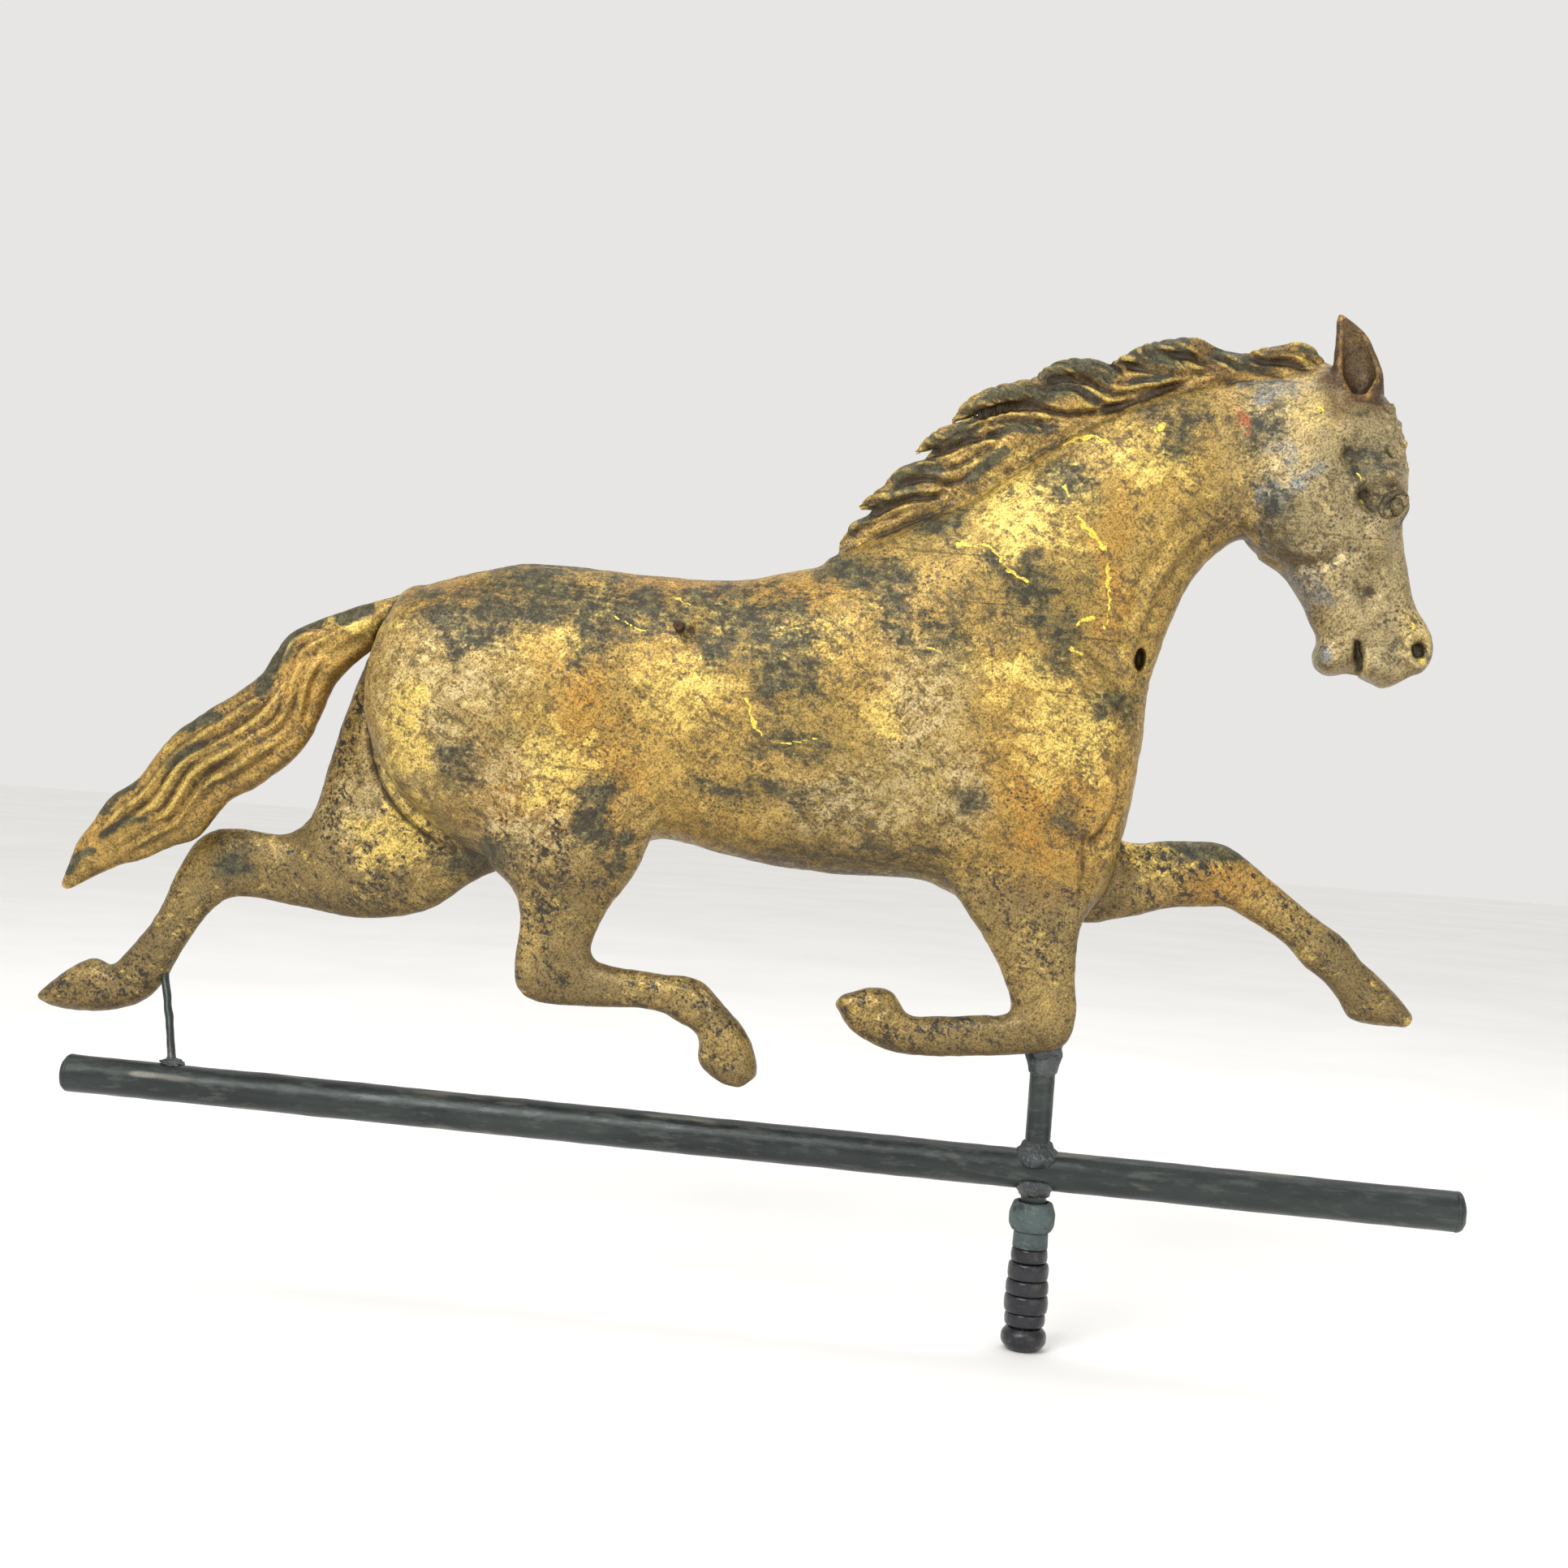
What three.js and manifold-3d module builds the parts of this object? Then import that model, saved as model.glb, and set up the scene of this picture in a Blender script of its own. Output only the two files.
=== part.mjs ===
// Running-horse weather vane: a hollow sheet-copper horse with a cast head, soldered to a copper
// cross tube, turning on a pointed rod that stands in a ribbed rubber sleeve.
// Millimetres, +Z up, +X towards the head, -Y is the horse's right side.
// The origin is on the turning axis at the bottom of the ribbed sleeve.

import * as THREE from 'three';
import { mergeVertices } from 'three/addons/utils/BufferGeometryUtils.js';
import Module from 'manifold-3d';

// ---- driving dimensions ----
const GAP = 0.3; // between neighbouring pieces
const SHEET = 2.2; // wall of the hollow horse
const SEAM = 0.15; // half the gap along a seam
const BAR_R = 11.1; // cross tube, outside radius
const BAR_BORE = 9.6;
const BAR_REAR = -576;
const BAR_FRONT = 231;
const BAR_REAR_Z = 103.2; // the tube falls a little towards the front
const BAR_FRONT_Z = 99.8;
const BAR_Z = 100.8; // at the post
const CAP_LONG = 14; // how far an end cap reaches in
const POST_R = 7.15; // post tube, outside radius
const POST_BORE = 6.0;
const POST_LOW = 70;
const POST_TOP = 171;
const ROD_R = 4.0; // pointed spindle rod
const ROD_TIP = 150;
const STAY_R = 2.4; // rod under the rear hoof
const LEG_Y = 22; // a leg's middle plane, off the centre
const KNEE_LEG_Y = 14; // the folded foreleg, whose knee sits on the post
const EAR_Y = 14; // middle of an ear, off the centre
const CHEST_HOLE = [2.5, 7]; // half width and half height of the hole in the chest seam
const SLIVER = 0.04; // edges shorter than this, left by a cut, are closed up

const wasm = await Module();
wasm.setup();

// ---- materials ----
function finish(color, roughness, metalness) {
  return new THREE.MeshStandardMaterial({ color, roughness, metalness });
}
const GILT = finish(0xb08a4a, 0.5, 0.7);
const ZINC = finish(0x9a8a62, 0.55, 0.6);
const MANE = finish(0x8a7748, 0.6, 0.6);
const EAR = finish(0x54402a, 0.6, 0.5);
const HOOF = finish(0x6b6244, 0.6, 0.5);
const TUBE = finish(0x33413c, 0.45, 0.6);
const SOLDER = finish(0x8c8f8a, 0.5, 0.8);
const STEEL = finish(0x6f6a60, 0.45, 0.9);
const BLACK_RUBBER = finish(0x1d1b1a, 0.6, 0.0);
const GREY_RUBBER = finish(0x5c6b66, 0.7, 0.0);
const SCREW = finish(0x6a4a35, 0.6, 0.7);

// ---- solids ----
function solidOf(geometry) {
  const bare = geometry.clone();
  bare.deleteAttribute('normal');
  bare.deleteAttribute('uv');
  const merged = mergeVertices(bare, 1e-4);
  const mesh = new wasm.Mesh({
    numProp: 3,
    vertProperties: new Float32Array(merged.attributes.position.array),
    triVerts: new Uint32Array(merged.index.array),
  });
  return new wasm.Manifold(mesh);
}

function largestPiece(solid) {
  const pieces = solid.decompose();
  pieces.sort((a, b) => b.volume() - a.volume());
  return pieces[0];
}

function geometryOf(solid) {
  const mesh = largestPiece(solid.asOriginal().simplify(SLIVER)).getMesh();
  const geometry = new THREE.BufferGeometry();
  geometry.setAttribute('position', new THREE.BufferAttribute(mesh.vertProperties, 3));
  geometry.setIndex(new THREE.BufferAttribute(mesh.triVerts, 1));
  geometry.computeVertexNormals();
  return geometry;
}

function box(x0, x1, y0, y1, z0, z1) {
  const geometry = new THREE.BoxGeometry(x1 - x0, y1 - y0, z1 - z0);
  geometry.translate((x0 + x1) / 2, (y0 + y1) / 2, (z0 + z1) / 2);
  return solidOf(geometry);
}

// A solid of revolution about the vertical axis; profile is [radius, height] pairs.
function turned(profile, sides) {
  const points = profile.map(([r, z]) => new THREE.Vector2(r, z));
  const geometry = new THREE.LatheGeometry(points, sides);
  geometry.rotateX(Math.PI / 2);
  return solidOf(geometry);
}

// A cylinder between two points.
function rodBetween(a, b, radius, sides) {
  const from = new THREE.Vector3(...a);
  const to = new THREE.Vector3(...b);
  const along = to.clone().sub(from);
  const geometry = new THREE.CylinderGeometry(radius, radius, along.length(), sides);
  const turn = new THREE.Quaternion();
  turn.setFromUnitVectors(new THREE.Vector3(0, 1, 0), along.clone().normalize());
  geometry.applyQuaternion(turn);
  const middle = from.add(to).multiplyScalar(0.5);
  geometry.translate(middle.x, middle.y, middle.z);
  return solidOf(geometry);
}

// A loft over ribs. A rib is [x1, z1, x2, z2, halfDepth]: two opposite points of the side outline
// and half the thickness across it. grow swells the skin outwards (inwards if negative).
function loft(ribs, middleY, sides, grow) {
  const positions = [];
  const index = [];
  const rings = [];
  for (const [x1, z1, x2, z2, depth] of ribs) {
    const span = Math.hypot(x1 - x2, z1 - z2) / 2;
    const ux = (x1 - x2) / (2 * span);
    const uz = (z1 - z2) / (2 * span);
    const tall = span + grow;
    const deep = depth + grow;
    if (tall < 1 || deep < 1) continue;
    const ring = [];
    for (let k = 0; k < sides; k += 1) {
      const angle = (2 * Math.PI * k) / sides;
      const c = Math.sign(Math.cos(angle)) * Math.abs(Math.cos(angle)) ** 0.92;
      const s = Math.sign(Math.sin(angle)) * Math.abs(Math.sin(angle)) ** 0.92;
      ring.push(positions.length / 3);
      positions.push((x1 + x2) / 2 + ux * tall * c, middleY + deep * s, (z1 + z2) / 2 + uz * tall * c);
    }
    rings.push(ring);
  }
  for (let i = 0; i + 1 < rings.length; i += 1) {
    for (let k = 0; k < sides; k += 1) {
      const a = rings[i][k];
      const b = rings[i][(k + 1) % sides];
      const c = rings[i + 1][(k + 1) % sides];
      const d = rings[i + 1][k];
      index.push(a, b, c, a, c, d);
    }
  }
  const first = rings[0];
  const last = rings[rings.length - 1];
  for (let k = 1; k + 1 < sides; k += 1) {
    index.push(first[0], first[k + 1], first[k]);
    index.push(last[0], last[k], last[k + 1]);
  }
  const geometry = new THREE.BufferGeometry();
  geometry.setAttribute('position', new THREE.BufferAttribute(new Float32Array(positions), 3));
  geometry.setIndex(index);
  const solid = solidOf(geometry);
  if (solid.volume() > 0) return solid;
  const flipped = [];
  for (let i = 0; i < index.length; i += 3) flipped.push(index[i], index[i + 2], index[i + 1]);
  geometry.setIndex(flipped);
  return solidOf(geometry);
}

function halfSpace(side, plane) {
  const near = side < 0;
  return box(-900, 900, near ? -300 : plane + SEAM, near ? plane - SEAM : 300, -200, 900);
}

// ---- side outlines, as ribs ----
const BODY = [
  [-396, 390, -406, 356, 16],
  [-387, 405, -403, 322, 33],
  [-372, 409, -391, 296, 41],
  [-350, 416, -368, 273, 45],
  [-322, 423, -338, 255, 46],
  [-292, 424, -300, 247, 46],
  [-260, 422, -256, 258, 45],
  [-225, 421, -226, 270, 43],
  [-190, 422, -190, 264, 43],
  [-152, 431, -152, 259, 44],
  [-112, 440, -112, 258, 43],
  [-78, 440, -76, 258, 42],
  [-46, 430, -48, 248, 40],
  [-14, 418, -18, 243, 38],
  [14, 400, 10, 243, 34],
  [32, 384, 26, 258, 27],
  [39, 362, 34, 288, 17],
  [41, 346, 38, 308, 8],
];
const NECK = [
  [-140, 436, 20, 310, 30],
  [-122, 448, 36, 345, 33],
  [-92, 463, 43, 378, 33],
  [-62, 480, 50, 405, 31],
  [-30, 503, 59, 430, 28],
  [2, 525, 70, 448, 26],
  [34, 539, 84, 460, 25],
  [62, 546, 92, 461, 25],
  [88, 551, 106, 456, 22],
];
const HEAD = [
  [78, 551, 98, 451, 25],
  [104, 558, 112, 442, 26],
  [134, 560, 121, 430, 26],
  [160, 544, 127, 419, 25],
  [173, 522, 132, 409, 23],
  [177, 497, 133, 400, 20],
  [175, 474, 140, 391, 17],
  [178, 453, 152, 390, 15],
  [183, 433, 162, 388, 15],
  [193, 416, 169, 384, 15],
  [194, 405, 176, 386, 13],
  [190, 398, 181, 391, 8],
];
const TAIL = [
  [-392, 402, -398, 380, 10],
  [-415, 394, -405, 371, 12],
  [-440, 384, -421, 356, 14],
  [-458, 375, -430, 344, 15],
  [-467, 361, -437, 325, 15],
  [-474, 349, -441, 314, 15],
  [-489, 337, -451, 300, 15],
  [-512, 321, -471, 283, 15],
  [-529, 306, -490, 272, 14],
  [-546, 282, -505, 251, 14],
  [-563, 269, -521, 243, 12],
  [-574, 252, -542, 233, 10],
  [-582, 239, -557, 228, 8],
  [-590, 215, -586, 212, 3],
];
const HIND_LEFT = [
  [-404, 400, -290, 330, 16],
  [-421, 354, -305, 280, 19],
  [-431, 322, -318, 250, 19],
  [-437, 298, -342, 236, 17],
  [-445, 268, -372, 215, 14],
  [-462, 255, -412, 208, 11],
  [-491, 256, -450, 212, 9],
  [-510, 252, -484, 215, 9],
  [-523, 236, -500, 209, 8],
  [-537, 203, -515, 190, 8],
  [-546, 188, -523, 176, 9],
  [-556, 175, -531, 160, 10],
  [-565, 167, -543, 147, 10],
  [-577, 170, -560, 140, 11],
  [-590, 164, -578, 138, 12],
  [-601, 155, -595, 138, 12],
  [-609, 147, -606, 142, 9],
];
const HIND_RIGHT = [
  [-336, 330, -220, 330, 15],
  [-330, 280, -223, 290, 18],
  [-322, 250, -231, 266, 18],
  [-307, 236, -238, 248, 15],
  [-301, 219, -251, 228, 11],
  [-303, 193, -259, 208, 9],
  [-299, 178, -256, 199, 9],
  [-282, 172, -246, 197, 8],
  [-225, 174, -222, 195, 8],
  [-207, 169, -196, 193, 9],
  [-194, 162, -182, 182, 10],
  [-192, 147, -166, 165, 11],
  [-180, 137, -160, 150, 12],
  [-168, 135, -159, 142, 9],
];
const FORE_RIGHT = [
  [-71, 300, 22, 290, 14],
  [-53, 251, 18, 256, 14],
  [-39, 231, 14, 230, 12],
  [-26, 209, 14, 209, 11],
  [-20, 192, 16, 191, 10],
  [-26, 187, 12, 175, 10],
  [-38, 186, -4, 168, 9],
  [-59, 184, -58, 161, 8],
  [-76, 183, -81, 161, 9],
  [-87, 195, -99, 166, 10],
  [-99, 196, -111, 174, 11],
  [-115, 191, -119, 186, 9],
];
const FORE_LEFT = [
  [-12, 296, -30, 246, 13],
  [20, 292, 14, 240, 13],
  [44, 288, 40, 245, 12],
  [66, 291, 64, 252, 11],
  [92, 291, 88, 255, 11],
  [112, 279, 100, 254, 9],
  [140, 258, 128, 239, 8],
  [154, 249, 140, 227, 9],
  [165, 241, 153, 218, 9],
  [173, 231, 162, 208, 10],
  [182, 224, 168, 199, 11],
  [192, 215, 181, 196, 12],
  [203, 203, 199, 196, 10],
];
const EAR_SHAPE = [
  [153, 538], [157, 550], [156, 559], [152, 569], [146, 577], [139, 583], [131, 585], [131, 572],
  [129, 560], [130, 548], [134, 540],
];
const MANE_SHAPE = [
  [-138, 440], [-137, 452], [-127, 465], [-129, 470], [-115, 474], [-117, 482], [-103, 490],
  [-99, 497], [-99, 504], [-84, 511], [-80, 517], [-78, 525], [-66, 530], [-46, 537], [-31, 541],
  [-35, 546], [-26, 552], [-5, 554], [8, 555], [18, 562], [36, 568], [55, 572], [66, 572],
  [84, 568], [95, 569], [105, 573], [112, 574], [124, 568], [129, 560], [127, 551], [67, 544],
  [20, 532], [-64, 478], [-96, 460],
];

const group = new THREE.Group();
function add(name, solid, material) {
  const mesh = new THREE.Mesh(geometryOf(solid), material);
  mesh.name = name;
  group.add(mesh);
}

// ---- the body and neck, stamped in two halves ----
const bodySkin = loft(BODY, 0, 20, 0).add(loft(NECK, 0, 16, 0));
const bodyHollow = loft(BODY, 0, 20, -SHEET).add(loft(NECK, 0, 16, -SHEET));
const bodyGrown = loft(BODY, 0, 20, GAP).add(loft(NECK, 0, 16, GAP));
const postHole = rodBetween([0, 0, POST_LOW - 5], [0, 0, POST_TOP + 2], POST_R + GAP, 20);
const headSkin = loft(HEAD, 0, 16, 0);
const [headTopX, headTopZ, headLowX, headLowZ, headDepth] = HEAD[0];
const headBack = [headTopX - GAP, headTopZ, headLowX - GAP, headLowZ, headDepth];
const headGrown = loft([headBack, ...HEAD.slice(1)], 0, 16, GAP);
const [holeWide, holeTall] = CHEST_HOLE;
const chestHole = box(20, 60, -holeWide, holeWide, 388 - holeTall, 388 + holeTall);
const bodySheet = bodySkin.subtract(bodyHollow).subtract(headGrown).subtract(chestHole);
const headWall = headSkin.subtract(loft(HEAD.slice(0, -1), 0, 16, -3));
const headOpening = loft([[70, 536, 92, 466, 16], [110, 540, 116, 462, 16]], 0, 16, 0);
const tailSkin = loft(TAIL, 0, 14, 0).subtract(bodyGrown);
const tailHollow = loft(TAIL.slice(0, -2), 0, 14, -2.4);

for (const [side, word] of [[-1, 'right'], [1, 'left']]) {
  const half = halfSpace(side, 0);
  add(`body_shell_${word}`, largestPiece(bodySheet.intersect(half)), GILT);
  add(`head_casting_${word}`, largestPiece(headWall.subtract(headOpening).intersect(half)), ZINC);
  add(`tail_${word}`, largestPiece(tailSkin.subtract(tailHollow).intersect(half)), GILT);
}

// ---- the mane comb, the ears and the eyes ----
function plate(points, y0, y1) {
  const shape = new THREE.Shape(points.map(([x, z]) => new THREE.Vector2(x, z)));
  const geometry = new THREE.ExtrudeGeometry(shape, { depth: y1 - y0, bevelEnabled: false, steps: 1 });
  geometry.rotateX(Math.PI / 2);
  geometry.translate(0, y1, 0);
  return solidOf(geometry);
}

for (const [side, word] of [[-1, 'right'], [1, 'left']]) {
  const maneHalf = plate(MANE_SHAPE, side < 0 ? -7 : SEAM, side < 0 ? -SEAM : 7);
  add(`mane_${word}`, largestPiece(maneHalf.subtract(bodyGrown).subtract(headGrown)), MANE);
  const ear = plate(EAR_SHAPE, side * EAR_Y - 3, side * EAR_Y + 3);
  const smaller = EAR_SHAPE.map(([x, z]) => [143 + (x - 143) * 0.55, 562 + (z - 562) * 0.6]);
  const scoop = side < 0 ? plate(smaller, -20, -15) : plate(smaller, 15, 20);
  add(`ear_${word}`, largestPiece(ear.subtract(scoop).subtract(headGrown)), EAR);
  const eye = new THREE.SphereGeometry(5.5, 12, 8);
  eye.translate(160, side * 22, 490);
  add(`eye_${word}`, largestPiece(solidOf(eye).subtract(headGrown)), ZINC);
}

// ---- the legs, each stamped in an outer and an inner half, with a hoof plate ----
const rearEnd = [BAR_REAR, 0, BAR_REAR_Z];
const frontEnd = [BAR_FRONT, 0, BAR_FRONT_Z];
const barClear = rodBetween(rearEnd, frontEnd, BAR_R + GAP, 24);
const stayFoot = [-531, LEG_Y, 165];
const stayHead = [-513, 2, BAR_REAR_Z + 9];
const LEGS = [
  ['hind_leg_left', HIND_LEFT, LEG_Y, 13],
  ['hind_leg_right', HIND_RIGHT, -LEG_Y, 11],
  ['foreleg_right', FORE_RIGHT, -KNEE_LEG_Y, 9],
  ['foreleg_left', FORE_LEFT, LEG_Y, 9],
];
const stayRod = rodBetween(stayFoot, stayHead, STAY_R, 10);
const stayClear = rodBetween(stayFoot, stayHead, STAY_R + GAP, 10);
for (const [name, ribs, middle, hoofRib] of LEGS) {
  const skin = loft(ribs, middle, 14, 0).subtract(bodyGrown).subtract(postHole).subtract(stayClear);
  const hollow = loft(ribs.slice(0, 7), middle, 14, -SHEET);
  const leg = skin.subtract(hollow);
  const outward = Math.sign(middle);
  const coronet = ribs.slice(hoofRib);
  const below = ribs[hoofRib].map((value, i) => value + 0.06 * (ribs[hoofRib + 1][i] - value));
  const shank = leg.subtract(loft(coronet, middle, 14, 4));
  const hoof = skin.intersect(loft([below, ...coronet.slice(1)], middle, 14, 4));
  add(`${name}_outer`, largestPiece(shank.intersect(halfSpace(outward, middle))), GILT);
  add(`${name}_inner`, largestPiece(shank.intersect(halfSpace(-outward, middle))), GILT);
  add(`${name}_hoof`, largestPiece(hoof), HOOF);
}

// ---- the cross tube, its end caps, the post and the solder ----
const tube = rodBetween(rearEnd, frontEnd, BAR_R, 24)
  .subtract(rodBetween([BAR_REAR - 1, 0, BAR_REAR_Z], [BAR_FRONT + 1, 0, BAR_FRONT_Z], BAR_BORE, 24));
add('crossbar', tube.subtract(postHole), TUBE);

// A hollow cap: a shallow dome outside the tube's mouth and a skirt inside it.
function endCap(x, z, outward) {
  const dome = new THREE.SphereGeometry(BAR_R, 20, 10);
  dome.scale(0.3, 1, 1);
  dome.translate(x + outward * GAP, 0, z);
  const keep = outward < 0
    ? box(x - 20, x - GAP, -20, 20, z - 20, z + 20)
    : box(x + GAP, x + 20, -20, 20, z - 20, z + 20);
  const plug = rodBetween([x + outward, 0, z], [x - outward * CAP_LONG, 0, z], BAR_BORE - GAP, 20);
  const bore = rodBetween([x - outward, 0, z], [x - outward * 20, 0, z], BAR_BORE - 1.6, 20);
  return solidOf(dome).intersect(keep).add(plug).subtract(bore);
}
add('end_cap_rear', endCap(BAR_REAR, BAR_REAR_Z, -1), TUBE);
add('end_cap_front', endCap(BAR_FRONT, BAR_FRONT_Z, 1), TUBE);

const postTube = turned([
  [POST_BORE, POST_LOW], [POST_R, POST_LOW], [POST_R, POST_TOP], [POST_BORE, POST_TOP],
  [POST_BORE, POST_LOW],
], 20);
add('post_tube', postTube, TUBE);

function solderRing(z0, z1, low, high) {
  const ring = turned([
    [POST_R + GAP, z0], [low, z0], [high, z1], [POST_R + GAP, z1], [POST_R + GAP, z0],
  ], 20);
  return ring.subtract(barClear);
}
add('solder_above_bar', solderRing(BAR_Z + 6, BAR_Z + 16, 14, 8.6), SOLDER);
add('solder_below_bar', solderRing(BAR_Z - 15, BAR_Z - 6, 8.8, 13), SOLDER);

const kneeGrown = loft(FORE_RIGHT, -KNEE_LEG_Y, 14, GAP);
const kneeRing = turned([
  [POST_R + GAP, 156], [8.4, 156], [10.5, 166], [POST_R + GAP, 166], [POST_R + GAP, 156],
], 16);
add('solder_knee', largestPiece(kneeRing.subtract(kneeGrown)), SOLDER);

add('thrust_cup', turned([
  [0, ROD_TIP + 1.2], [ROD_R * 0.8, ROD_TIP - 3], [POST_BORE - GAP, ROD_TIP - 3],
  [POST_BORE - GAP, ROD_TIP + 8], [0, ROD_TIP + 8],
], 16), STEEL);
add('lower_bush', turned([
  [ROD_R + GAP, POST_LOW + 2], [POST_BORE - GAP, POST_LOW + 2], [POST_BORE - GAP, POST_LOW + 16],
  [ROD_R + GAP, POST_LOW + 16], [ROD_R + GAP, POST_LOW + 2],
], 16), STEEL);

add('rear_stay', stayRod.subtract(barClear), TUBE);
const bead = new THREE.SphereGeometry(5, 12, 8);
bead.scale(1.3, 1.1, 0.7);
bead.translate(stayHead[0], stayHead[1], BAR_REAR_Z + BAR_R + 0.8);
add('solder_stay', largestPiece(solidOf(bead).subtract(stayClear).subtract(barClear)), SOLDER);

const screwHead = rodBetween([-218, -48, 390], [-218, -30, 390], 3, 10);
add('flank_screw', largestPiece(screwHead.subtract(bodyGrown)), SCREW);

// ---- the fixed foot: pointed rod, ribbed sleeve and collar ----
add('spindle_rod', turned([
  [0, 0], [ROD_R, 0], [ROD_R, ROD_TIP - 8], [0.4, ROD_TIP], [0, ROD_TIP],
], 16), STEEL);

const RINGS = [
  [0, 13.2, 9.4, 12.8],
  [13.5, 20.7, 10.9, 11.3],
  [21, 30.7, 12.0, 12.4],
  [31, 39, 11.6, 12.0],
  [39.3, 48.7, 11.1, 11.5],
  [49, 56.7, 9.9, 10.3],
];
RINGS.forEach(([z0, z1, edge, belly], i) => {
  const inside = ROD_R + GAP;
  const profile = [
    [inside, z0], [edge, z0], [belly, (z0 + z1) / 2], [edge, z1], [inside, z1], [inside, z0],
  ];
  add(`sleeve_ring_${i + 1}`, turned(profile, 20), BLACK_RUBBER);
});
add('collar_skirt', turned([
  [ROD_R + GAP, 57], [9.9, 57], [9.6, 66.2], [ROD_R + GAP, 66.2], [ROD_R + GAP, 57],
], 20), GREY_RUBBER);
add('rubber_collar', turned([
  [ROD_R + GAP, 66.5], [11, 66.5], [12.8, 70], [12.8, 77], [10.5, 83], [8.2, 83], [7.9, 69.5],
  [ROD_R + GAP, 69.5], [ROD_R + GAP, 66.5],
], 20), GREY_RUBBER);

export default group;
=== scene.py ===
# Running-horse weather vane: the horse is modelled as a smooth distance field from its side outlines,
# sculpted, and split into the pieces it is made of. Tables are in millimetres; objects are in metres.
import math

import bpy
import numpy as np
import openvdb
from mathutils import Matrix, Vector


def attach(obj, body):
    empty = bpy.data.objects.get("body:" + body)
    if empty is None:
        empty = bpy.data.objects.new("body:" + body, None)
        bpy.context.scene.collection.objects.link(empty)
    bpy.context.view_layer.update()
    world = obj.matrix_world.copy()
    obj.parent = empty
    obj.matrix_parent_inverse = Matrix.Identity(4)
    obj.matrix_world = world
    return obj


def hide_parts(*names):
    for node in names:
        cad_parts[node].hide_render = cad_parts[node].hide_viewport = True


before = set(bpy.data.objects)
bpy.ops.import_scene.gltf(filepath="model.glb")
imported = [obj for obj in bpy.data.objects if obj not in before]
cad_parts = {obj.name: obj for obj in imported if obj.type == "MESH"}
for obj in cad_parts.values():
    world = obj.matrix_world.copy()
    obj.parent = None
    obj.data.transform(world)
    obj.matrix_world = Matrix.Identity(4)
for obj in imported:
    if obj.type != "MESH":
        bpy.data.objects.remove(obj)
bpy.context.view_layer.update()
MM = 0.001

# ---------------------------------------------------------------- camera
YAW, ROLL = math.radians(7.3), math.radians(4.2)
CAMERA_AT = (-0.010854, -1.151508, 0.306908)
SENSOR = 36
FOCAL_PIXELS, IMAGE_PIXELS = 2497, 1932


def make_camera():
    level = Vector((math.cos(YAW), math.sin(YAW), 0))
    ahead = Vector((-math.sin(YAW), math.cos(YAW), 0))
    right = level * math.cos(ROLL) + Vector((0, 0, 1)) * math.sin(ROLL)
    up = -level * math.sin(ROLL) + Vector((0, 0, 1)) * math.cos(ROLL)
    data = bpy.data.cameras.new("camera")
    data.sensor_width = SENSOR
    data.lens = SENSOR * FOCAL_PIXELS / IMAGE_PIXELS
    data.clip_start, data.clip_end = 0.01, 30
    camera = bpy.data.objects.new("camera", data)
    turn = Matrix((right, up, -ahead)).transposed()
    camera.matrix_world = Matrix.Translation(Vector(CAMERA_AT)) @ turn.to_4x4()
    bpy.context.scene.collection.objects.link(camera)
    bpy.context.scene.camera = camera


make_camera()

# ---------------------------------------------------------------- side outlines
# A rib is [x1, z1, x2, z2, half depth]: two opposite points of the outline and half the thickness.
BODY = [
    [-396, 390, -406, 356, 16], [-387, 405, -403, 322, 33], [-372, 409, -391, 296, 41],
    [-350, 416, -368, 273, 45], [-322, 423, -338, 255, 46], [-292, 424, -300, 247, 45],
    [-260, 422, -256, 258, 43], [-225, 421, -226, 270, 42], [-190, 422, -190, 264, 43],
    [-152, 431, -152, 259, 44], [-112, 440, -112, 258, 43], [-78, 440, -76, 258, 42],
    [-46, 430, -48, 248, 40], [-14, 418, -18, 243, 38], [14, 400, 10, 243, 34],
    [32, 384, 26, 258, 27], [39, 362, 34, 288, 17], [41, 346, 38, 308, 8],
]
NECK = [
    [-140, 436, 20, 310, 30], [-122, 448, 36, 345, 33], [-92, 463, 43, 378, 33],
    [-62, 480, 50, 405, 31], [-30, 503, 59, 430, 28], [2, 525, 70, 448, 26],
    [34, 539, 84, 460, 24], [62, 546, 92, 461, 23], [88, 551, 106, 456, 22],
]
HEAD = [
    [78, 551, 98, 451, 20], [104, 558, 112, 442, 25], [134, 560, 121, 430, 26],
    [160, 544, 127, 419, 24], [171, 522, 132, 409, 22], [176, 497, 133, 400, 20],
    [174, 474, 140, 391, 17], [178, 453, 152, 390, 15], [183, 433, 162, 388, 15],
    [193, 416, 169, 384, 15], [194, 405, 176, 386, 13], [190, 398, 181, 391, 8],
]
TAIL = [
    [-392, 402, -398, 380, 10], [-415, 394, -405, 371, 12], [-440, 384, -421, 356, 14],
    [-458, 375, -430, 344, 15], [-467, 361, -437, 325, 15], [-474, 349, -441, 314, 15],
    [-489, 337, -451, 300, 15], [-512, 321, -471, 283, 15], [-529, 306, -490, 272, 14],
    [-546, 282, -505, 251, 14], [-563, 269, -521, 243, 12], [-574, 252, -542, 233, 10],
    [-582, 239, -557, 228, 8], [-590, 215, -586, 212, 3],
]
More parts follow.
